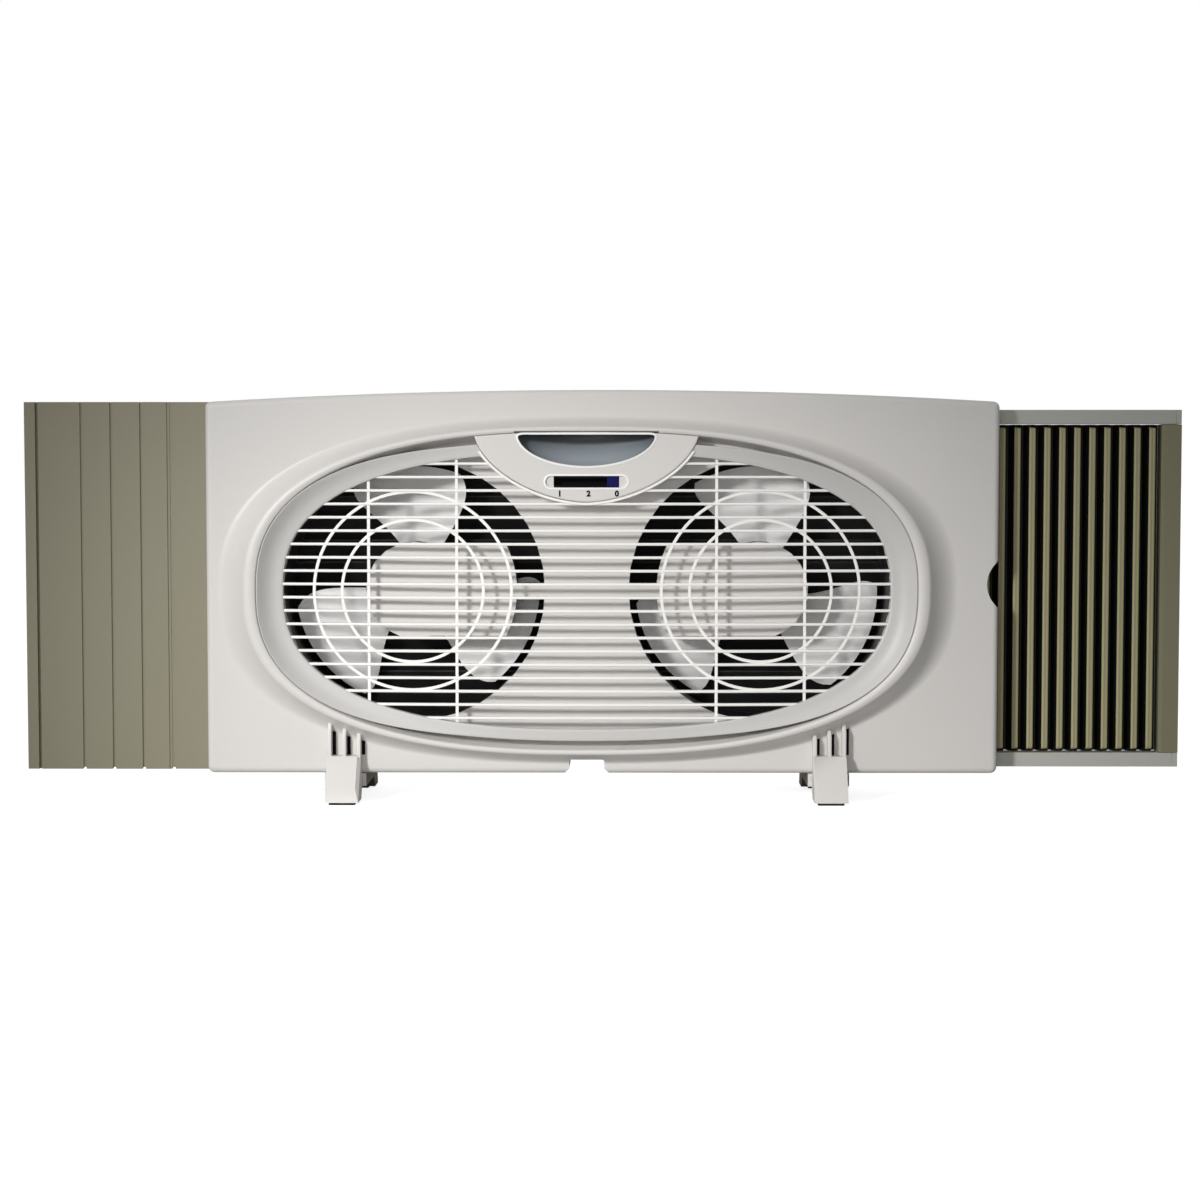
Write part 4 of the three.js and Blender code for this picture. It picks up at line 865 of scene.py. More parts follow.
@dataclass
class HousingOutline:
    """The housing from the front: straight sides and bottom under an arched top."""

    half_width: float = 333.5
    bottom: float = 23.5
    peak: float = 346.5
    rise: float = 10.0
    corner: float = 5.5
    arch_steps: int = 64
    corner_steps: int = 8
    side_steps: int = 12

    def points(self, inset: float) -> list[Flat]:
        """Draw the outline, drawn in all round.

        Args:
            inset: How far it is drawn in.

        Returns:
            The points, counterclockwise from the bottom right corner.
        """
        arch = (self.half_width**2 + self.rise**2) / (2 * self.rise)
        radius = arch - inset
        middle = self.peak - arch
        corner = max(self.corner - inset, 0.6)
        x = self.half_width - inset - corner
        low = self.bottom + inset + corner
        high = middle + math.sqrt((radius - corner) ** 2 - x**2)
        turn = math.atan2(high - middle, x)
        quarter = math.pi / 2
        steps = self.corner_steps
        right = arc((x, low), corner, -quarter, 0.0, steps)
        right += self._between(right[-1], (x + corner, high))
        right += arc((x, high), corner, 0.0, turn, steps)
        top = arc((0.0, middle), radius, turn, math.pi - turn, self.arch_steps)[1:-1]
        left = [(-across, height) for across, height in reversed(right)]
        return right + top + left + self._between(left[-1], right[0])

    def _between(self, start: Flat, end: Flat) -> list[Flat]:
        """Divide a straight side.

        Args:
            start: Its first end.
            end: Its last end.

        Returns:
            The points strictly between them.
        """
        count = self.side_steps
        shares = [k / count for k in range(1, count)]
        return [tuple(Vector(start).lerp(Vector(end), share)) for share in shares]


@dataclass
class Housing:
    """The front shell with its oval bezel, and the rear shell behind it."""

    outline: HousingOutline = field(default_factory=HousingOutline)
    face: float = -34.0
    back: float = 30.0
    wall: float = 2.5
    edge_round: float = 4.5
    back_round: float = 2.5
    flank: Flat = (310.7, 147.0)
    crest_y: float = -52.0
    crest_soft: float = 1.2
    flank_curve: float = 1.8
    flank_steps: int = 14
    rim_back: float = -31.5
    notch_half: float = 14.75
    notch_top: float = 35.5
    notch_flare: float = 4.0
    thumb_radius: float = 25.0
    thumb_depth: float = 9.8
    thumb_z: float = 183.3
    mouth_half: float = 10.5
    mouth: Flat = (26.0, 330.8)
    tongue_y: Flat = (-12.3, -6.7)
    tongue_z: Flat = (28.7, 332.3)
    tongue_deep: float = 12.5
    grip_half: float = 60.1
    grip_back: float = -24.5
    grip_z: Flat = (280.0, 311.6)
    louvre_hole: float = 113.3
    screw_hole: float = 2.2
    gland_hole: float = 6.8
    hole_front: float = 12.0
    screws: Sequence[Flat] = ()
    gland: Flat = (-12.7, 49.5)

    def front_skin(self) -> bpy.types.Object:
        """Loft the outer sides with their rounded edge, and the bezel, and fill the face.

        Returns:
            The open skin, with its faces turned outwards.
        """
        steps = 7
        turn = [math.pi / 2 * k / steps for k in range(steps + 1)]
        r = self.edge_round
        rows = [(0.0, 0.0), (0.0, (self.face + r) / 2)]
        rows += [(r * (1 - math.cos(a)), self.face + r - r * math.sin(a)) for a in turn]
        rows.append((r + 0.7, self.face))
        sides = Bench.loft(
            "front_sides",
            [[(x, y, z) for x, z in self.outline.points(inset)] for inset, y in rows],
            Ends.OPEN,
        )
        bezel = Bench.loft(
            "front_bezel",
            [[(x, y, z) for x, z in OVAL.loop(size)] for size, y in self.bezel_rows()],
            Ends.OPEN,
        )
        skin = Bench.together("front_housing_piece", [sides, bezel])
        with Bench.editing(skin):
            bpy.ops.mesh.select_all(action="DESELECT")
            bpy.ops.mesh.select_non_manifold(
                extend=False, use_wire=False, use_multi_face=False, use_verts=False
            )
            shape = bmesh.from_edit_mesh(skin.data)
            for vertex in shape.verts:
                if vertex.select and abs(vertex.co.y - self.face * MM) > 1e-5:
                    vertex.select_set(False)
            shape.select_flush_mode()
            bmesh.update_edit_mesh(skin.data)
            bpy.ops.mesh.fill(use_beauty=True)
            bpy.ops.mesh.select_all(action="SELECT")
            bpy.ops.mesh.normals_make_consistent(inside=False)
        flat = [p for p in skin.data.polygons if abs(p.center.y - self.face * MM) < 1e-6]
        widest = max(flat, key=lambda polygon: polygon.area)
        if widest.normal.y > 0:
            skin.data.flip_normals()
        return skin

    def bezel_rows(self) -> list[tuple[Flat, float]]:
        """List the bezel's sections from the face over its crest to the grille.

        Returns:
            Each section's half size and its Y.
        """
        crest, rim = OVAL.crest, OVAL.rim
        drop = self.face - self.crest_y - self.crest_soft
        rows = [((self.flank[0] + 0.7, self.flank[1] + 0.7), self.face)]
        for k in range(self.flank_steps + 1):
            u = k / self.flank_steps
            size = tuple(f + (c - f) * u for f, c in zip(self.flank, crest))
            rows.append((size, self.face - drop * u**self.flank_curve))
        for s in (-0.75, -0.5, -0.25, 0.0, 0.25, 0.5, 0.75, 0.9):
            share = (1 + s) / 2
            size = tuple(c + (r - c) * share for c, r in zip(crest, rim))
            rows.append((size, self.crest_y + self.crest_soft * s * s))
        top = self.crest_y + self.crest_soft
        rows.append(((rim[0] + 0.1, rim[1] + 0.1), top + 0.25))
        foot = OVAL.rim_foot
        for share in (0.05, 0.35, 0.7, 1.0):
            size = tuple(r + (f - r) * share for r, f in zip(rim, foot))
            rows.append((size, top + (self.rim_back - top) * share))
        return rows

    def notch(self, grow: float, low: float) -> list[Flat]:
        """Draw the cord's notch, flared at its foot.

        Args:
            grow: How far outside the notch the line runs.
            low: Where it starts in Z.

        Returns:
            The outline, counterclockwise.
        """
        half, top = self.notch_half + grow, self.notch_top + grow
        flare = self.notch_flare if grow == 0 else 0.0
        x = OVAL.x
        bottom = self.outline.bottom
        right = [(x + half + flare, low), (x + half + flare, bottom)]
        right += [(x + half, bottom + flare), (x + half, top - 1.5), (x + half - 1.5, top)]
        return right + [(2 * x - across, height) for across, height in reversed(right)]

    def shared_cuts(self, low: float, high: float) -> list[bpy.types.Object]:
        """Make what both shells give way to, between two planes in Y.

        Args:
            low: The nearer plane.
            high: The farther plane.

        Returns:
            Cutters for the cord's notch and for the curtain's frame.
        """
        half = self.outline.half_width
        return [
            Bench.slab("notch", self.notch(0.0, 10.0), low, high),
            Bench.block(
                "mouth", (half - 6.0, half + 6.0), (-self.mouth_half, self.mouth_half), self.mouth
            ),
        ]

    def build_front(self) -> None:
        """Make the front shell."""
        skin = Bench.thickened(self.front_skin(), self.wall)
        half = self.outline.half_width
        surround = Bench.slab(
            "surround", self.notch(self.wall, self.outline.bottom + 1.2), self.face + 1.2, -0.2
        )
        Bench.carve(skin, surround, how=Cut.ADD)
        middle = (half + self.thumb_radius - self.thumb_depth, self.thumb_z)
        thumb = Bench.slab(
            "thumb", circle(middle, self.thumb_radius, 96), self.face - 5, -self.mouth_half
        )
        tongue = Bench.block(
            "tongue", (-half - 5, -half + self.tongue_deep), self.tongue_y, self.tongue_z
        )
        grip = Bench.block(
            "grip", (OVAL.x - self.grip_half, OVAL.x + self.grip_half),
            (self.crest_y - 5, self.grip_back), self.grip_z,
        )
        Bench.carve(skin, *self.shared_cuts(self.face - 6, 5.0), thumb, tongue, grip)
        Bench.smooth(Bench.rounded(skin, 0.45, 2, 40.0), 40.0)
        Bench.dress(skin, HOUSING, "front_housing")

    def build_rear(self) -> None:
        """Make the rear shell with its holes for louvres, screws and cord."""
        steps = 4
        turn = [math.pi / 2 * k / steps for k in range(steps + 1)]
        r = self.back_round
        rows = [(r * (1 - math.sin(a)), self.back - r + r * math.cos(a)) for a in turn]
        rows.append((0.0, 0.0))
        shell = Bench.loft(
            "rear_housing_piece",
            [[(x, y, z) for x, z in self.outline.points(inset)] for inset, y in rows],
        )
        inside = self.outline.points(self.wall)
        hollow = Bench.slab("hollow", inside, -5.0, self.back - self.wall)
        Bench.carve(shell, hollow)
        surround = Bench.slab(
            "surround", self.notch(self.wall, self.outline.bottom + 1.2), 0.2, self.back - 1.0
        )
        Bench.carve(shell, surround, how=Cut.ADD)
        holes = [circle((x, OVAL.z), self.louvre_hole, 128) for x in FAN_XS]
        holes += [circle(place, self.screw_hole, 20) for place in self.screws]
        holes.append(circle(self.gland, self.gland_hole, 32))
        cutters = [
            Bench.slab("hole", hole, self.hole_front, self.back + 5) for hole in holes
        ]
        Bench.carve(shell, *self.shared_cuts(-5.0, self.back + 5), *cutters)
        Bench.smooth(Bench.rounded(shell, 0.45, 2, 40.0), 40.0)
        Bench.dress(shell, HOUSING, "rear_housing")


# ---- Grille


@dataclass
class BarGrille:
    """White bars in an oval frame, bowed towards the room, with rings before each fan."""

    outer: Flat = (268.0, 124.5)
    inner: Flat = (255.0, 115.5)
    middle: Flat = (261.5, 120.0)
    face: float = -34.0
    setback: float = 3.0
    bow: float = 12.0
    frame_depth: float = 6.4
    dish_reach: float = 3.0
    dish_ends: Flat = (8.3, 8.0)
    dish_from: Flat = (80.0, 250.0)
    dish_share: float = 0.55
    crest: float = -50.8
    bars: int = 20
    pitch: float = 11.2
    bar_height: float = 2.4
    bar_depth: float = 4.8
    bar_steps: int = 28
    ring_radii: Flat = (59.4, 83.0)
    ring_width: float = 2.6
    ring_sides: int = 96
    rib_offset: float = 37.0
    rib_width: float = 2.4
    rib_depth: float = 2.0
    leg_width: float = 12.0
    leg_angles: Sequence[int] = (0, 62, 118, 180, 242, 298)
    baffle: float = -31.2

    def y(self, x: float) -> float:
        """Give the depth of the bowed grille's middle at an X."""
        share = (x - OVAL.x) / self.outer[0]
        return self.face - self.setback - self.bow * (1 - share**2)

    @staticmethod
    def section(deep: float, high: float) -> list[Flat]:
        """Draw a bar's section, with a rounded front and back.

        Args:
            deep: Its size in Y.
            high: Its size in Z.

        Returns:
            Points as Y and Z from its middle.
        """
        y, z = deep / 2, high / 2
        n = z * 0.55
        return [
            (-y, -z + n * 1.6), (-y + n * 0.45, -z + n * 0.45), (-y + n * 1.6, -z),
            (y - n, -z), (y, -z + n), (y, z - n), (y - n, z),
            (-y + n * 1.6, z), (-y + n * 0.45, z - n * 0.45), (-y, z - n * 1.6),
        ]

    def bar(self, height: float) -> bpy.types.Object:
        """Make one bar across the oval.

        Args:
            height: Its height from the oval's middle.

        Returns:
            The bar.
        """
        reach = OVAL.reach(self.middle, height)
        rows = []
        for k in range(self.bar_steps + 1):
            x = OVAL.x + reach * (2 * k / self.bar_steps - 1)
            rows.append(
                [
                    (x, self.y(x) + deep, OVAL.z + height + high)
                    for deep, high in self.section(self.bar_depth, self.bar_height)
                ]
            )
        return Bench.loft("bar", rows)

    def frame(self) -> bpy.types.Object:
        """Make the oval frame, dished up towards the bezel's wall where that stands proud.

        Returns:
            The frame.
        """
        half = self.frame_depth / 2
        near = (self.outer[0] + self.dish_reach, self.outer[1] + self.dish_reach / 3)
        far = tuple(o + reach for o, reach in zip(self.outer, self.dish_ends))
        shares = ((0.0, half, 0.0), (0.0, -half + 0.8, 1.0), (0.03, -half + 0.2, 0.97))
        shares += ((0.08, -half, 0.88), (0.17, -half, 0.72), (0.28, -half, 0.52))
        shares += ((0.42, -half, 0.31), (0.57, -half, 0.15), (0.74, -half, 0.05))
        shares += ((0.9, -half, 0.0), (0.97, -half + 0.4, 0.0), (1.0, -half + 1.2, 0.0))
        shares += ((1.0, half, 0.0),)
        rows = []
        for share, deep, lift in shares:
            loops = [
                OVAL.loop(tuple(o + (i - o) * share for o, i in zip(outer, self.inner)))
                for outer in (near, far)
            ]
            row = []
            for first, second in zip(*loops):
                end = self.ended(first[0])
                x, z = Vector(first).lerp(Vector(second), end)
                row.append((x, self.y(x) + deep - lift * self.dish(x, end), z))
            rows.append(row)
        return Bench.loft("frame", rows, Ends.JOINED)

    def ended(self, x: float) -> float:
        """Give how much of the ends' full dish the frame has.

        Args:
            x: The place along the frame.

        Returns:
            A share from 0 to 1.
        """
        start, full = self.dish_from
        share = min(max((abs(x - OVAL.x) - start) / (full - start), 0.0), 1.0)
        return share * share * (3 - 2 * share)

    def dish(self, x: float, end: float) -> float:
        """Give how far the frame's outer edge stands up at an X."""
        proud = self.y(x) - self.frame_depth / 2 + 0.8 - self.crest
        return max(proud, 0.0) * (self.dish_share + (0.96 - self.dish_share) * end)

    def ring(self, fan: float, radius: float) -> bpy.types.Object:
        """Make one flat ring that leans with the bow in front of a fan.

        Args:
            fan: The fan's X.
            radius: The ring's radius.

        Returns:
            The ring.
        """
        lean = (self.y(fan + radius) - self.y(fan - radius)) / (2 * radius)
        wide, deep = self.ring_width / 2, self.rib_depth / 2
        profile = ((-wide, -deep + 0.3), (-wide + 0.3, -deep), (wide - 0.3, -deep))
        profile += ((wide, -deep + 0.3), (0.45, deep), (-0.45, deep))
        rows = []
        for out, back in profile:
            loop = circle((0.0, 0.0), radius + out, self.ring_sides)
            rows.append([(fan + x, self.y(fan) + lean * x + back, OVAL.z + z) for x, z in loop])
        return Bench.loft("ring", rows, Ends.JOINED)

    def rib(self, x: float) -> bpy.types.Object:
        """Make one upright rib behind the bars.

        Args:
            x: Its middle.

        Returns:
            The rib.
        """
        half = OVAL.rise(self.middle, x - OVAL.x)
        wide, deep = self.rib_width / 2, self.rib_depth / 2
        return Bench.block(
            "rib", (x - wide, x + wide), (self.y(x) - deep, self.y(x) + deep),
            (OVAL.z - half, OVAL.z + half),
        )

    def leg(self, degrees: int) -> bpy.types.Object:
        """Make one leg from the frame back to the baffle.

        Args:
            degrees: Its place round the oval.

        Returns:
            The leg.
        """
        x, z = OVAL.point(self.middle, math.radians(degrees))
        wide, high = self.leg_width / 2, self.bar_height
        return Bench.block(
            "leg", (x - wide, x + wide), (self.y(x), self.baffle - 0.3), (z - high, z + high)
        )

    def build(self, panel: "ControlPanel") -> None:
        """Make the grille, cut off round the control panel with a lip there.

        Args:
            panel: The panel that interrupts the bars.
        """
        heights = [(k - (self.bars - 1) / 2) * self.pitch for k in range(self.bars)]
        frame = self.frame()
        frame.name = "front_grille_frame"
        parts = [self.bar(height) for height in heights]
        parts += [self.rib(x + way * self.rib_offset) for x in FAN_XS for way in (-1, 1)]
        parts += [self.ring(x, radius) for x in FAN_XS for radius in self.ring_radii]
        parts += [self.leg(degrees) for degrees in self.leg_angles]
        room = grown(panel.belly(), 0.3)
        for part in [frame] + parts:
            top = max(v.co.z for v in part.data.vertices) / MM
            if top > panel.bottom - 3:
                cutter = Bench.slab("room", room, -60.0, -20.0)
                Bench.carve(part, cutter)
        lip_y = self.y(OVAL.x)
        half = self.frame_depth / 2
        lip = Bench.band(
            "lip",
            panel.belly(),
            ((0.3, lip_y - half + 0.5), (0.7, lip_y - half), (2.2, lip_y - half),
             (2.7, lip_y - half + 0.5), (2.7, lip_y + half), (0.3, lip_y + half)),
        )
        keep = Bench.slab("keep", OVAL.loop(self.middle, 192), -60.0, -20.0)
        Bench.carve(lip, keep, how=Cut.KEEP)
        grille = Bench.together("front_grille_piece", parts + [lip])
        Bench.dress(Bench.smooth(grille, 40.0), GRILLE, "front_grille")
        # The frame gets the darker tone, a painted shade.
        Bench.dress(Bench.smooth(frame, 40.0), FRAME_SHADE, "front_grille")


# ---- Control panel


@dataclass
class ControlPanel:
    """The D-shaped panel with the handle's mouth, the scoop and the speed switch."""

    half_width: float = 94.3
    height: float = 60.6
    top: float = 313.3
    power: float = 1.75
    sides: int = 96
    corner_clear: float = 4.5
    front: float = -52.6
    plate_back: float = -50.3
    back: float = -31.5
    wall: float = 2.3
    skirt_top: float = 302.3
    grip_half: float = 58.0
    grip_height: float = 27.4
    grip_top: float = 309.5
    grip_corner: float = 3.0
    grip_depth: float = 26.0
    scoop_wall: float = 1.8
    pill: Flat = (70.7, 12.3)
    pill_z: float = 269.6
    pill_depth: float = 1.3
    window: Flat = (54.5, 9.5)
    marks: Sequence[tuple[str, float]] = (("1", -34.9), ("2", -10.9), ("0", 12.6))
    marks_z: float = 259.6
    marks_size: float = 6.4
    marks_weight: float = 0.35
    marks_raise: float = 0.08

    @property
    def bottom(self) -> float:
        """The lowest point of the panel's curved edge."""
        return self.top - self.height

    def belly_point(self, share: float) -> Flat:
        """Give a point of the D's curved edge.

        Args:
            share: 0 at its left end and 1 at its right.

        Returns:
            X and Z of the point.
        """
        angle = math.pi * (1 + share)
        c, s = math.cos(angle), math.sin(angle)
        power = 2 / self.power
        x = OVAL.x + self.half_width * math.copysign(abs(c) ** power, c)
        return x, self.top - self.height * abs(s) ** power

    def belly(self) -> list[Flat]:
        """Draw the whole D, counterclockwise from its left end, with a straight top."""
        return [self.belly_point(k / self.sides) for k in range(self.sides + 1)]

    def outline(self) -> list[Flat]:
        """Draw the panel: the D, ended at the top by the bezel's rim.

        Returns:
            The points, with none near the two corners, so that it can be drawn in.
        """
        rim = (OVAL.rim[0] - 0.3, OVAL.rim[1] - 0.3)

        def roof(x: float) -> float:
            """Give the rim's height at an X."""
            return OVAL.z + OVAL.rise(rim, x - OVAL.x)

        low, high = 0.0, 0.25
        for _ in range(40):
            middle = (low + high) / 2
            x, z = self.belly_point(middle)
            low, high = (middle, high) if z > roof(x) else (low, middle)
        left = self.belly_point(high)
        right = (2 * OVAL.x - left[0], left[1])
        clear = self.corner_clear
        belly = [
            point for point in self.belly()
            if point[1] < left[1]
            and min((Vector(point) - Vector(end)).length for end in (left, right)) > clear
        ]
        steps = 36
        xs = [right[0] + (left[0] - right[0]) * k / steps for k in range(1, steps)]
        return [left] + belly + [right] + [(x, roof(x)) for x in xs]

    def mouth(self) -> list[Flat]:
        """Draw the handle's mouth: half an ellipse with rounded upper corners.

        Returns:
            The outline, counterclockwise.
        """
        wide, high = self.grip_half, self.grip_height
        start = math.asin(self.grip_corner / high)
        steps = 48
        points = []
        for k in range(steps + 1):
            angle = math.pi + start + (math.pi - 2 * start) * k / steps
            points.append((wide * math.cos(angle), high * math.sin(angle)))
        corner = []
        end, tip, flat = points[-1], (wide, 0.0), (wide - 2 * self.grip_corner, 0.0)
        for share in (0.25, 0.5, 0.75, 1.0):
            first = Vector(end).lerp(Vector(tip), share)
            second = Vector(tip).lerp(Vector(flat), share)
            corner.append(tuple(first.lerp(second, share)))
        level = [(flat[0] * (1 - k / 8), 0.0) for k in range(1, 16)]
        whole = points + corner + level + [(-x, z) for x, z in reversed(corner)]
        return [(OVAL.x + x, self.grip_top + z) for x, z in whole]

    def slot(self, size: Flat) -> list[Flat]:
        """Draw a level slot with round ends.

        Args:
            size: Its width and height.

        Returns:
            The outline, counterclockwise.
        """
        end = size[1] / 2
        reach = size[0] / 2 - end
        quarter = math.pi / 2
        right = arc((OVAL.x + reach, self.pill_z), end, -quarter, quarter, 16)
        return right + arc((OVAL.x - reach, self.pill_z), end, quarter, 3 * quarter, 16)

    def build_plate(self) -> None:
        """Make the panel with raised lips round the mouth and the switch's pill."""
        outline = self.outline()
        rows = [(0.0, self.back), (0.0, self.front + 1.0), (0.3, self.front + 0.3)]
        rows += [(1.0, self.front), (1.7, self.front)]
        plate = Bench.loft(
            "control_panel_piece",
            [[(x, y, z) for x, z in grown(outline, -inset)] for inset, y in rows],
        )
        hollow = Bench.slab("hollow", grown(outline, -self.wall), self.plate_back, self.back + 5)
        wide = self.half_width + 10
        above = Bench.block(
            "above", (OVAL.x - wide, OVAL.x + wide), (self.plate_back, self.back + 5),
            (self.skirt_top, self.top + 10),
        )
        mouth = Bench.slab("mouth", self.mouth(), self.front - 5, self.back + 5)
        half = (self.window[0] / 2, self.window[1] / 2)
        pill = Bench.slab(
            "pill", self.slot(self.pill), self.front - 5, self.front + self.pill_depth
        )
        window = Bench.block(
            "window", (OVAL.x - half[0], OVAL.x + half[0]), (self.front - 5, self.plate_back + 5),
            (self.pill_z - half[1], self.pill_z + half[1]),
        )
        Bench.carve(plate, hollow, above, mouth, pill, window)
        Bench.rounded(plate, 0.35, 2, 40.0)
        Bench.dress(Bench.smooth(plate, 40.0), HOUSING, "control_panel")

    def lip(self, outline: Sequence[Flat], inside: float, outside: float) -> bpy.types.Object:
        """Run a low rounded lip round an opening.

        Args:
            outline: The opening's edge.
            inside: How far the lip reaches into the opening.
            outside: How far it lies on the panel.

        Returns:
            The lip.
        """
        y = self.front
        profile = ((-inside, y + 1.5), (-inside, y - 0.15), (-inside + 0.3, y - 0.45))
        profile += ((outside - 0.5, y - 0.45), (outside - 0.1, y - 0.2), (outside, y + 0.3))
        return Bench.band("lip", outline, profile)

    def build_lips(self) -> None:
        """Make the lips round the handle's mouth and the switch's pill; their white, lighter than
        the panel, is partly a painted highlight along them.
        """
        lips = Bench.together(
            "control_panel_lips",
            [self.lip(self.mouth(), 0.7, 1.1), self.lip(self.slot(self.pill), 1.3, 0.4)],
        )
        Bench.dress(Bench.smooth(lips, 40.0), LIP_HIGHLIGHT, "control_panel")

    def build_scoop(self) -> None:
        """Make the bowl behind the handle's mouth from a fine ball cut in two planes."""
        bpy.ops.object.select_all(action="DESELECT")
        bpy.ops.mesh.primitive_uv_sphere_add(segments=96, ring_count=64, radius=1.0)
        bowl = bpy.context.object
        bowl.name = "handle_scoop_piece"
        scale = (self.grip_half, self.grip_depth, self.grip_height)
        grow = Matrix.Diagonal(Vector(scale) * MM).to_4x4()
        place = Matrix.Translation(Vector((OVAL.x, self.front, self.grip_top)) * MM)
        bowl.data.transform(place @ grow)
        with Bench.editing(bowl):
            bpy.ops.mesh.select_all(action="SELECT")
            bpy.ops.mesh.bisect(
                plane_co=(0, 0, self.grip_top * MM), plane_no=(0, 0, 1),
                clear_outer=True, use_fill=True,
            )
            bpy.ops.mesh.select_all(action="SELECT")
            bpy.ops.mesh.bisect(
                plane_co=(0, (self.plate_back + 0.3) * MM, 0), plane_no=(0, 1, 0),
                clear_inner=True,
            )
            bpy.ops.mesh.select_all(action="SELECT")
            bpy.ops.mesh.normals_make_consistent(inside=True)
        lowest = min(bowl.data.polygons, key=lambda polygon: polygon.center.z)
        if lowest.normal.z < 0:
            bowl.data.flip_normals()
        Bench.thickened(bowl, self.scoop_wall)
        Bench.dress(Bench.smooth(bowl, 40.0), SCOOP, "handle_scoop")

    def build_marks(self) -> None:
        """Print the speed numbers under the pill."""
        for text, x in self.marks:
            bpy.ops.object.select_all(action="DESELECT")
            bpy.ops.object.text_add()
            mark = bpy.context.object
            mark.name = f"speed_mark_{text}"
            mark.data.body = text
            mark.data.size = self.marks_size * MM
            mark.data.align_x = "CENTER"
            mark.data.align_y = "CENTER"
            mark.data.extrude = self.marks_raise * MM
            mark.data.offset = self.marks_weight * MM
            bpy.ops.object.convert(target="MESH")
            mark = bpy.context.object
            turn = Matrix.Rotation(math.pi / 2, 4, "X")
            place = Matrix.Translation(Vector((x, self.front - 0.07, self.marks_z)) * MM)
            mark.data.transform(place @ turn)
            mark.data.materials.clear()
            mark.data.materials.append(MARKS.material())
            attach(mark, "housing")

    def build(self) -> None:
        """Make the panel and all that it carries."""
        self.build_plate()
        self.build_lips()
        self.build_scoop()
        self.build_marks()
        Bench.refined("switch_body", DARK, 0.3)
        Bench.refined("speed_slider", KNOB, 0.6, 3)


# ---- Fans


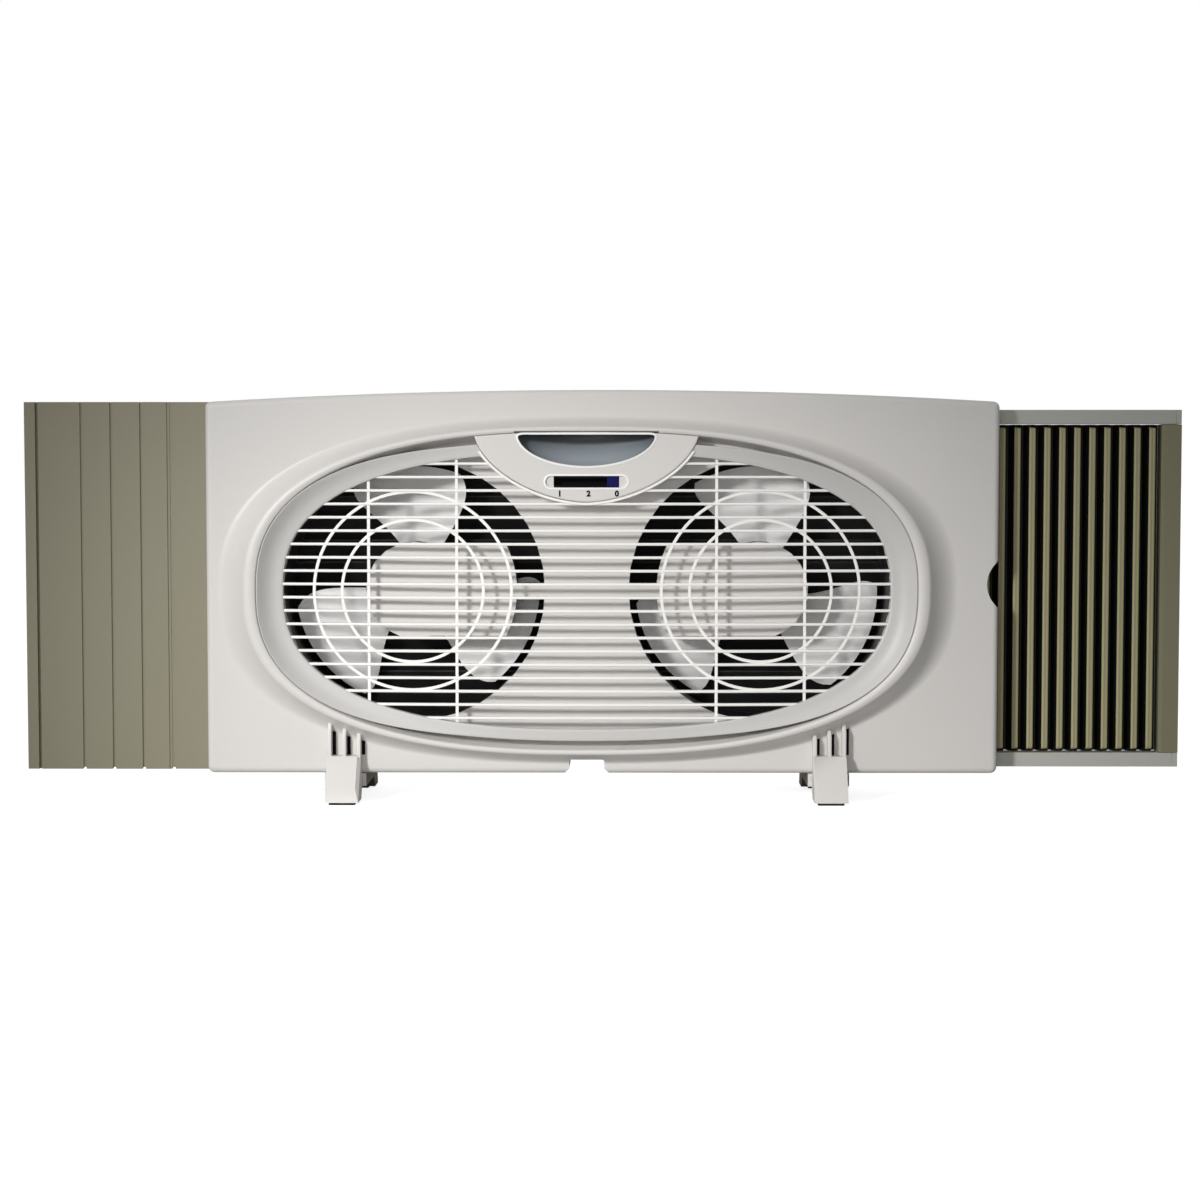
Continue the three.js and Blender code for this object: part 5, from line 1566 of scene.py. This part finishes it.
@dataclass
class Fan:
    """One propeller fan: its impeller, motor, shaft and rear louvre."""

    side: Side
    x: float
    phase: float
    hub_y: float = 0.6
    hub_length: float = 23.0
    hub_radius: float = 25.0
    hub_wall: float = 3.0
    sleeve: float = 8.0
    bore: float = 4.3
    tip_radius: float = 104.3
    blades: int = 3
    span: float = 66.0
    sweep: float = 12.0
    rise: float = 19.0
    camber: float = 3.0
    thickness: float = 2.0
    root_share: float = 0.72
    tip_trim: float = 0.35
    edge_thin: float = 0.6
    rows: int = 20
    columns: int = 18
    louvre_radii: Point = (110.6, 113.0, 119.0)
    louvre_ys: Point = (27.5, 30.3, 47.0)
    slats: int = 12
    slat_pitch: float = 19.0
    slat_overlap: float = 2.0

    def blade(self, phase: float) -> bpy.types.Object:
        """Make one wide swept blade with thin edges.

        Args:
            phase: The angle of its middle at the hub, in degrees.

        Returns:
            The blade.
        """
        middle = self.hub_y + self.hub_length / 2
        inner = self.hub_radius - self.hub_wall / 2
        steps = [k / self.columns - 0.5 for k in range(self.columns + 1)]
        sections = []
        for row in range(self.rows + 1):
            out = row / self.rows
            radius = inner + (self.tip_radius - inner) * out
            share = self.root_share
            span = self.span * (share + (1 - share) * math.sin(math.pi / 2 * out))
            span *= math.sqrt(1 - self.tip_trim * out**8)

            def at(across: float, way: int) -> Point:
                """Place a point of this section.

                Args:
                    across: Its place across the blade, from -0.5 to 0.5.
                    way: -1 on the face towards the room, 1 on the other.

                Returns:
                    The point.
                """
                angle = math.radians(phase + self.sweep * out + span * across)
                thin = 1 - self.edge_thin * (2 * abs(across)) ** 8
                y = middle + self.rise * across * (0.7 + 0.3 * out)
                y += way * thin * self.thickness / 2
                y -= self.camber * (1 - 4 * across**2) * out
                x = self.x + radius * math.cos(angle)
                return x, y, OVAL.z + radius * math.sin(angle)

            front = [at(across, -1) for across in steps]
            back = [at(across, 1) for across in reversed(steps)]
            sections.append(front + back)
        return Bench.loft("blade", sections)

    def turned(self, name: str, profile: Sequence[Flat], sides: int) -> bpy.types.Object:
        """Turn a closed profile about the fan's shaft.

        Args:
            name: The new piece's name.
            profile: Points as radius and Y.
            sides: Faces round the shaft.

        Returns:
            The new piece.
        """
        rows = []
        for radius, y in profile:
            rows.append([(x, y, z) for x, z in circle((self.x, OVAL.z), radius, sides)])
        return Bench.loft(name, rows, Ends.JOINED)

    def hub(self) -> bpy.types.Object:
        """Turn the hub: a cap with a rounded rim and a sleeve for the shaft.

        Returns:
            The hub.
        """
        back = self.hub_y + self.hub_length
        wall, r = self.hub_wall, self.hub_radius
        bore = self.bore
        profile = [
            (bore, self.hub_y + wall), (self.sleeve, self.hub_y + wall),
            (self.sleeve, back - wall), (r - wall, back - wall), (r - wall, self.hub_y),
            (r - 0.6, self.hub_y), (r, self.hub_y + 0.6), (r, back - wall),
            (r - 0.4, back - wall * 0.6), (r - wall * 0.5, back - wall * 0.2), (r - wall, back),
            (bore, back),
        ]
        return self.turned("hub", profile, 72)

    def louvre(self) -> bpy.types.Object:
        """Make the rear louvre: a flanged collar with slats that fall to the outside.

        Returns:
            The louvre.
        """
        inner, outer, flange = self.louvre_radii
        front, seat, back = self.louvre_ys
        profile = [
            (inner, front), (outer, front), (outer, seat), (flange, seat),
            (flange, seat + 1.5), (flange - 0.5, seat + 2.0), (outer, seat + 2.0),
            (outer, back - 0.5), (outer - 0.5, back), (inner + 0.4, back), (inner, back - 0.4),
        ]
        parts = [self.turned("collar", profile, 128)]
        near, far = seat + 2.0, back + 0.3
        drop = self.slat_pitch + self.slat_overlap
        for k in range(self.slats):
            z = OVAL.z + drop / 2 + (k - (self.slats - 1) / 2) * self.slat_pitch
            section = [(near, z), (far, z - drop), (far, z - drop + 1.5)]
            section += [(far - 0.3, z - drop + 1.8), (near + 0.3, z + 1.8), (near, z + 1.5)]
            ends = (self.x - outer, self.x + outer)
            slat = Bench.loft("slat", [[(x, y, h) for y, h in section] for x in ends])
            keep = Bench.slab(
                "keep", circle((self.x, OVAL.z), outer - 0.3, 96), near - 5, far + 5
            )
            Bench.carve(slat, keep, how=Cut.KEEP)
            parts.append(slat)
        kept = [part for part in parts if part.data.polygons]
        return Bench.together(f"rear_louvre_{self.side.value}_piece", kept)

    def build(self) -> None:
        """Make the impeller and dress what drives it."""
        name = self.side.value
        turns = [self.phase + 360 * k / self.blades for k in range(self.blades)]
        parts = [self.hub()] + [self.blade(turn) for turn in turns]
        impeller = Bench.together(f"impeller_{name}_piece", parts)
        Bench.dress(Bench.smooth(impeller, 40.0), BLADE, f"impeller_{name}")
        Bench.dress(Bench.smooth(self.louvre(), 40.0), LOUVRE, f"rear_louvre_{name}")
        Bench.refined(f"motor_{name}", STEEL, 0.5)
        Bench.refined(f"motor_bracket_{name}", STEEL, 0.3)
        Bench.refined(f"impeller_nut_{name}", STEEL, 0.3)
        Bench.painted(f"fan_shaft_{name}", STEEL)
        Bench.painted(f"motor_bush_{name}", BRONZE)
        for level in ("lower", "upper"):
            Bench.painted(f"motor_screw_{name}_{level}", STEEL)


# ---- Side curtain


@dataclass
class SideCurtain:
    """The pleated curtain with its rails and end post."""

    ACROSS = "across"

    first: float = 309.0
    pitch: float = 12.7
    count: int = 13
    depth: float = 15.0
    crest: float = 5.2
    valley: float = 1.6
    sheet: float = 0.9
    end: float = 474.1
    heights: Flat = (38.9, 317.9)
    keep: float = 0.15
    end_drop: float = 4.5
    end_levels: Sequence[float] = (0.0, 0.9, 1.8, 3.0, 4.5)
    shaded_end_rows: int = 3
    flat_size: Flat = (0.486, 0.279)
    seam: Flat = (4.6, 4.1)
    seam_depth: float = 0.5
    post_chamfer: float = 2.6

    def fold_line(self) -> list[tuple[float, float, float]]:
        """Draw the pleats from above with rounded crests.

        Returns:
            X, Y and the distance from the nearest crest's middle for each point.
        """
        front, back = -self.depth / 2, self.depth / 2
        slope = (self.pitch - self.crest - self.valley) / 2
        half = self.crest / 2
        line = []
        for k in range(self.count):
            start = self.first + k * self.pitch
            middle = start + slope + half
            line.append((start, back, half + self.depth))
            line.append((start + slope * 0.5, 0.0, half + self.depth / 2))
            line.append((start + slope * 0.93, front + 1.2, half + 1.0))
            for share in (-1.0, -0.75, -0.4, 0.0, 0.4, 0.75, 1.0):
                dome = 0.55 * share**4
                line.append((middle + share * half * 0.94, front + dome, share * half))
            line.append((start + slope + self.crest + slope * 0.07, front + 1.2, half + 1.0))
            line.append((start + self.crest + slope * 1.5, 0.0, half + self.depth / 2))
            line.append((start + 2 * slope + self.crest, back, half + self.depth))
        line.append((self.end, back, half + self.depth))
        return line

    def build_curtain(self) -> None:
        """Make the pleated sheet."""
        line = self.fold_line()
        flat = [(x, y) for x, y, _ in line]
        back = []
        for k, (x, y) in enumerate(flat):
            before = Vector(flat[max(k - 1, 0)])
            after = Vector(flat[min(k + 1, len(flat) - 1)])
            along = (after - before).normalized()
            normal = Vector((-along.y, along.x))
            if k in (0, len(flat) - 1):
                normal = Vector((0.0, 1.0))
            moved = Vector((x, y)) + normal * self.sheet * 0.8
            back.append((moved.x, min(moved.y, self.depth / 2 + self.sheet)))
        section = flat + back[::-1]
        across = [value for _, _, value in line] + [self.crest * 0.4] * len(line)
        low, high = self.heights
        rows = []
        for z in self.levels():
            gone = max(1 - min(z - low, high - z) / self.end_drop, 0.0)
            back = self.depth / 2
            rows.append([(x, y + (back - y) * 0.5 * gone**2, z) for x, y in section])
        sheet = Bench.loft("pleated_curtain_piece", rows)
        places = KDTree(len(rows) * len(section))
        for level, row in enumerate(rows):
            for k, point in enumerate(row):
                places.insert(Vector(point) * MM, level * len(section) + k)
        places.balance()
        attribute = sheet.data.attributes.new(self.ACROSS, "FLOAT", "POINT")
        last = len(rows) - 1
        for vertex, slot in zip(sheet.data.vertices, attribute.data):
            level, k = divmod(places.find(vertex.co)[1], len(section))
            # Rows near the top and bottom ends, on the sheet's front, get the dark tone: painted
            # shade next to the rails.
            end_shade = min(level, last - level) < self.shaded_end_rows and k < len(line)
            slot.value = across[k] + (2 * self.crest if end_shade else 0.0)
        Bench.smooth(sheet, 50.0)
        sheet.data.materials.append(CURTAIN.material())
        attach(sheet, "housing")
        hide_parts("pleated_curtain")
        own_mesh(sheet)
        LOG.info("%s: %d faces", sheet.name, len(sheet.data.polygons))

    def levels(self) -> list[float]:
        """List the heights at which the sheet has an edge.

        Returns:
            The heights, from the lowest.
        """
        low, high = self.heights
        ends = self.end_levels
        middle = [low + (high - low) * k / 6 for k in range(1, 6)]
        return [low + end for end in ends] + middle + [high - end for end in reversed(ends)]

    def build(self) -> None:
        """Make the curtain, its rails, its post and what holds its inner edge."""
        self.build_curtain()
        for node in ("top_rail", "bottom_rail"):
            rail = Bench.copied(node, f"{node}_piece")
            low, high = box_mm(node)
            near, far = self.seam
            ring = Bench.block(
                "seam", (high.x - near, high.x - far), (low.y - 2, low.y + self.seam_depth),
                (low.z - 2, high.z + 2),
            )
            Bench.carve(rail, ring)
            Bench.dress(Bench.smooth(Bench.rounded(rail, 0.4, 2)), RAIL, node)
        post = Bench.copied("end_post", "end_post_piece")
        low, high = box_mm("end_post")

        def near_edge(a: Vector, b: Vector) -> bool:
            """Pick the post's front edge on the housing's side."""
            return all(abs(v.x - low.x) < 0.01 and abs(v.y - low.y) < 0.01 for v in (a, b))

        Bench.bevelled(post, near_edge, self.post_chamfer)
        Bench.dress(Bench.smooth(Bench.rounded(post, 0.4, 2, 50.0), 30.0), POST, "end_post")
        Bench.refined("curtain_anchor", POST, 0.3)


@dataclass
class SpacerPanel:
    """The taupe panel with its trim lines, each with a nick at its foot to start the cut."""

    first: float = 47.4
    pitch: float = 25.4
    count: int = 4
    groove_half: float = 1.0
    nick_half: float = 1.6
    nick_height: float = 1.5

    def build(self) -> None:
        """Make the panel."""
        node = "spacer_panel"
        panel = Bench.copied(node, f"{node}_piece")
        low, high = box_mm(node)
        for k in range(self.count):
            x = low.x + self.first + k * self.pitch + self.groove_half
            nick = Bench.block(
                "nick", (x - self.nick_half, x + self.nick_half), (low.y - 2, high.y + 2),
                (low.z - 2, low.z + self.nick_height),
            )
            Bench.carve(panel, Bench.rounded(nick, 0.8, 3))
        Bench.dress(Bench.smooth(Bench.rounded(panel, 0.3, 2)), SPACER, node)


# ---- Feet


@dataclass
class Foot:
    """A clip-on foot: a pale toe with three fins on a wider dark base."""

    side: Side
    x: float
    toe_half: float = 14.0
    toe_back: float = -31.0
    face: float = -34.3
    ledge: float = 39.0
    fin_width: float = 3.4
    fin_depth: float = 9.0
    fin_heights: Point = (68.0, 64.2, 60.4)
    chamfer: float = 8.0
    shade_width: float = 3.0
    shade_ys: Flat = (0.05, 0.25)
    shade_lap: float = 0.1
    shade_rise: float = 0.2
    shade_short: float = 2.5

    def fin(self, x: float, top: float) -> bpy.types.Object:
        """Make one fin: a thin upright rib whose front slopes back to its top.

        Args:
            x: Its middle.
            top: How high it reaches.

        Returns:
            The fin.
        """
        front, back, foot = self.face - self.fin_depth, self.face, self.ledge - 3
        side = [(front, foot), (back, foot), (back, top), (back - 3.5, top), (front, top - 9)]
        half = self.fin_width / 2
        fin = Bench.loft("fin", [[(end, y, z) for y, z in side] for end in (x - half, x + half)])
        return Bench.rounded(fin, 0.7, 2)

    def build(self) -> None:
        """Make the foot, the dark strips beside its fins that stand in for the fins' shadows
        (painted shadow), and its two pads.
        """
        node = f"foot_{self.side.value}"
        foot = Bench.copied(node, f"{node}_piece")
        old_fins = Bench.block(
            "old_fins", (self.x - 20, self.x + 20), (self.face - 12, self.face + 0.01),
            (self.ledge, 90.0),
        )
        Bench.carve(foot, old_fins)
        inner = self.x + self.side.inward * self.toe_half

        def inner_edge(a: Vector, b: Vector) -> bool:
            """Pick the toe's upright edge on the side of the housing's middle."""
            beside = all(abs(v.x - inner) < 0.02 for v in (a, b))
            return beside and all(v.y < self.face - 8.5 and v.z > 2.5 for v in (a, b))

        Bench.bevelled(foot, inner_edge, self.chamfer)
        Bench.rounded(foot, 0.7, 3, 30.0)
        reach = self.toe_half - self.fin_width / 2
        outside = -self.side.inward
        xs = [self.x + outside * reach * (1 - k) for k in range(len(self.fin_heights))]
        fins = [self.fin(x, top) for x, top in zip(xs, self.fin_heights)]
        foot = Bench.together(f"{node}_piece", [foot] + fins)
        low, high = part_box(node)
        for vertex in foot.data.vertices:
            vertex.co = [min(max(c, a), b) for c, a, b in zip(vertex.co, low, high)]
        Bench.dress(Bench.smooth(foot, 35.0), HOUSING, node)
        foot.data.materials.append(FOOT_DARK.material())
        for polygon in foot.data.polygons:
            middle = polygon.center / MM
            beside = abs(middle.x - self.x) > self.toe_half + 0.2
            behind = middle.y > self.toe_back and middle.z < 20
            polygon.material_index = 1 if beside or behind else 0
        # Thin black strips at the foot's face, right of each fin: painted shadow cast by the
        # fins.
        near, far = self.shade_ys
        fin_shadows = []
        for fin_x, top in zip(xs, self.fin_heights):
            x = fin_x + self.fin_width / 2 - self.shade_lap
            fin_shadows.append(
                Bench.block(
                    "slot", (x, x + self.shade_width), (self.face + near, self.face + far),
                    (self.ledge + self.shade_rise, top - self.shade_short),
                )
            )
        dark = Bench.together(f"foot_fin_shadows_{self.side.value}", fin_shadows)
        Bench.dress(dark, DARK, node)
        for end in ("front", "rear"):
            Bench.refined(f"foot_pad_{self.side.value}_{end}", RUBBER, 0.4, 2)


# ---- Small parts


@dataclass
class Fixings:
    """The housing's screws and the cord's gland."""

    places: Sequence[str] = ("upper_right", "lower_right", "upper_left", "lower_left", "top")
    slot_half: float = 0.45
    slot_reach: float = 2.0
    slot_depth: float = 1.2

    def build(self) -> None:
        """Make the screws with cross slots, and the gland."""
        for place in self.places:
            node = f"housing_screw_{place}"
            low, high = box_mm(node)
            x, z = (low.x + high.x) / 2, (low.z + high.z) / 2
            screw = Bench.copied(node, f"{node}_piece")
            ys = (high.y - self.slot_depth, high.y + 2)
            a, b = self.slot_reach, self.slot_half
            Bench.carve(
                screw,
                Bench.block("slot", (x - a, x + a), ys, (z - b, z + b)),
                Bench.block("slot", (x - b, x + b), ys, (z - a, z + a)),
            )
            Bench.dress(Bench.smooth(Bench.rounded(screw, 0.15, 2)), STEEL, node)
        Bench.refined("cord_gland", DARK, 0.4, 2)


# ---- Studio


@dataclass(frozen=True)
class SoftLamp:
    """A soft rectangular lamp: where it hangs and aims, its size in metres and its watts."""

    name: str
    place: Point
    aim: Point
    size: Flat
    power: float


@dataclass
class Studio:
    """The white floor, the soft lights and the camera of the picture."""

    target: Point = (-0.0015, -0.04, 0.1705)
    distance: float = 2.0
    azimuth: float = 0.5
    elevation: float = 3.2
    lens: float = 71.5
    ambient: float = 0.24
    key_place: Point = (-1.1, -1.7, 0.8)
    key_aim: Point = (0.0, -0.04, -0.02)
    key_power: float = 150.0
    key_spread: float = 32.5
    key_softness: float = 0.14
    lamps: Sequence[SoftLamp] = (
        SoftLamp("fill", (-0.2, -2.4, 0.35), (0.0, 0.0, 0.17), (0.6, 0.5), 4.5),
        SoftLamp("top", (-0.5, -0.4, 1.7), (-0.2, 0.0, 0.2), (1.0, 0.5), 2.5),
    )
    floor_size: float = 60.0
    floor_tone: float = 0.6
    floor_glow: float = 0.86

    @staticmethod
    def placed(data: bpy.types.ID, place: Vector, away: Vector) -> bpy.types.Object:
        """Put a camera or lamp in the scene.

        Args:
            data: The camera or lamp.
            place: Where it stands, in metres.
            away: The direction that its back is turned to.

        Returns:
            The object that holds it.
        """
        obj = bpy.data.objects.new(data.name, data)
        obj.location = place
        obj.rotation_euler = away.to_track_quat("Z", "Y").to_euler()
        bpy.context.scene.collection.objects.link(obj)
        return obj

    def camera(self) -> None:
        """Place the camera nearly square on, a little above the object's normal."""
        a, e = math.radians(self.azimuth), math.radians(self.elevation)
        back = Vector((math.sin(a) * math.cos(e), -math.cos(a) * math.cos(e), math.sin(e)))
        data = bpy.data.cameras.new("camera")
        data.lens = self.lens
        data.sensor_width = 36.0
        place = Vector(self.target) + back * self.distance
        bpy.context.scene.camera = self.placed(data, place, back)

    def key(self) -> None:
        """Hang the main light on the left, with a wide soft edge that fades to the right."""
        data = bpy.data.lights.new("key", "SPOT")
        data.energy = self.key_power
        data.spot_size = math.radians(self.key_spread)
        data.spot_blend = 1.0
        data.shadow_soft_size = self.key_softness
        place = Vector(self.key_place)
        self.placed(data, place, place - Vector(self.key_aim))

    def hang(self, lamp: SoftLamp) -> None:
        """Hang one soft lamp.

        Args:
            lamp: The lamp.
        """
        data = bpy.data.lights.new(lamp.name, "AREA")
        data.shape = "RECTANGLE"
        data.size, data.size_y = lamp.size
        data.energy = lamp.power
        place = Vector(lamp.place)
        self.placed(data, place, place - Vector(lamp.aim))

    def world(self) -> None:
        """Light the object evenly and show white wherever a ray leaves the scene."""
        world = bpy.data.worlds.new("white_room")
        world.use_nodes = True
        tree = world.node_tree
        back = tree.nodes["Background"]
        seen = tree.nodes.new("ShaderNodeLightPath").outputs
        shown = maths(tree, "MAXIMUM", seen["Is Camera Ray"], seen["Is Glossy Ray"])
        shown = maths(tree, "MAXIMUM", shown, seen["Is Transmission Ray"])
        level = ramp(tree, shown, end=(self.ambient, 1.0))
        tree.links.new(level, back.inputs["Strength"])
        back.inputs["Color"].default_value = (1.0, 1.0, 1.0, 1.0)
        bpy.context.scene.world = world

    def floor(self) -> None:
        """Lay a white floor that keeps the object's shadow."""
        bpy.ops.object.select_all(action="DESELECT")
        bpy.ops.mesh.primitive_plane_add(size=self.floor_size)
        floor = bpy.context.object
        floor.name = "floor"
        material = bpy.data.materials.new("white_floor")
        material.use_nodes = True
        tree = material.node_tree
        shader = tree.nodes["Principled BSDF"]
        shader.inputs["Base Color"].default_value = (*[self.floor_tone] * 3, 1.0)
        shader.inputs["Roughness"].default_value = 0.9
        seen = tree.nodes.new("ShaderNodeLightPath")
        glow = maths(tree, "MULTIPLY", seen.outputs["Is Camera Ray"], self.floor_glow)
        shader.inputs["Emission Color"].default_value = (1.0, 1.0, 1.0, 1.0)
        tree.links.new(glow, shader.inputs["Emission Strength"])
        floor.data.materials.append(material)

    def build(self) -> None:
        """Set up the whole studio."""
        self.camera()
        self.world()
        self.floor()
        self.key()
        for lamp in self.lamps:
            self.hang(lamp)
        bpy.context.scene.view_settings.view_transform = "Standard"


def main() -> None:
    """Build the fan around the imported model, piece by piece."""
    logging.basicConfig(level=logging.INFO, format="%(message)s")
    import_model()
    Studio().build()
    screws = []
    for place in Fixings().places:
        low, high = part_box(f"housing_screw_{place}")
        screws.append(((low.x + high.x) / 2 / MM, (low.z + high.z) / 2 / MM))
    housing = Housing(screws=screws)
    housing.build_front()
    housing.build_rear()
    panel = ControlPanel()
    panel.build()
    BarGrille().build(panel)
    Bench.refined("duct_plate", DUCT, 0.5, 2)
    Fan(Side.LEFT, x=FAN_XS[0], phase=-36.0).build()
    Fan(Side.RIGHT, x=FAN_XS[1], phase=82.0).build()
    SideCurtain().build()
    SpacerPanel().build()
    Foot(Side.LEFT, x=-216.9).build()
    Foot(Side.RIGHT, x=191.5).build()
    Fixings().build()


if __name__ == "__main__":
    main()
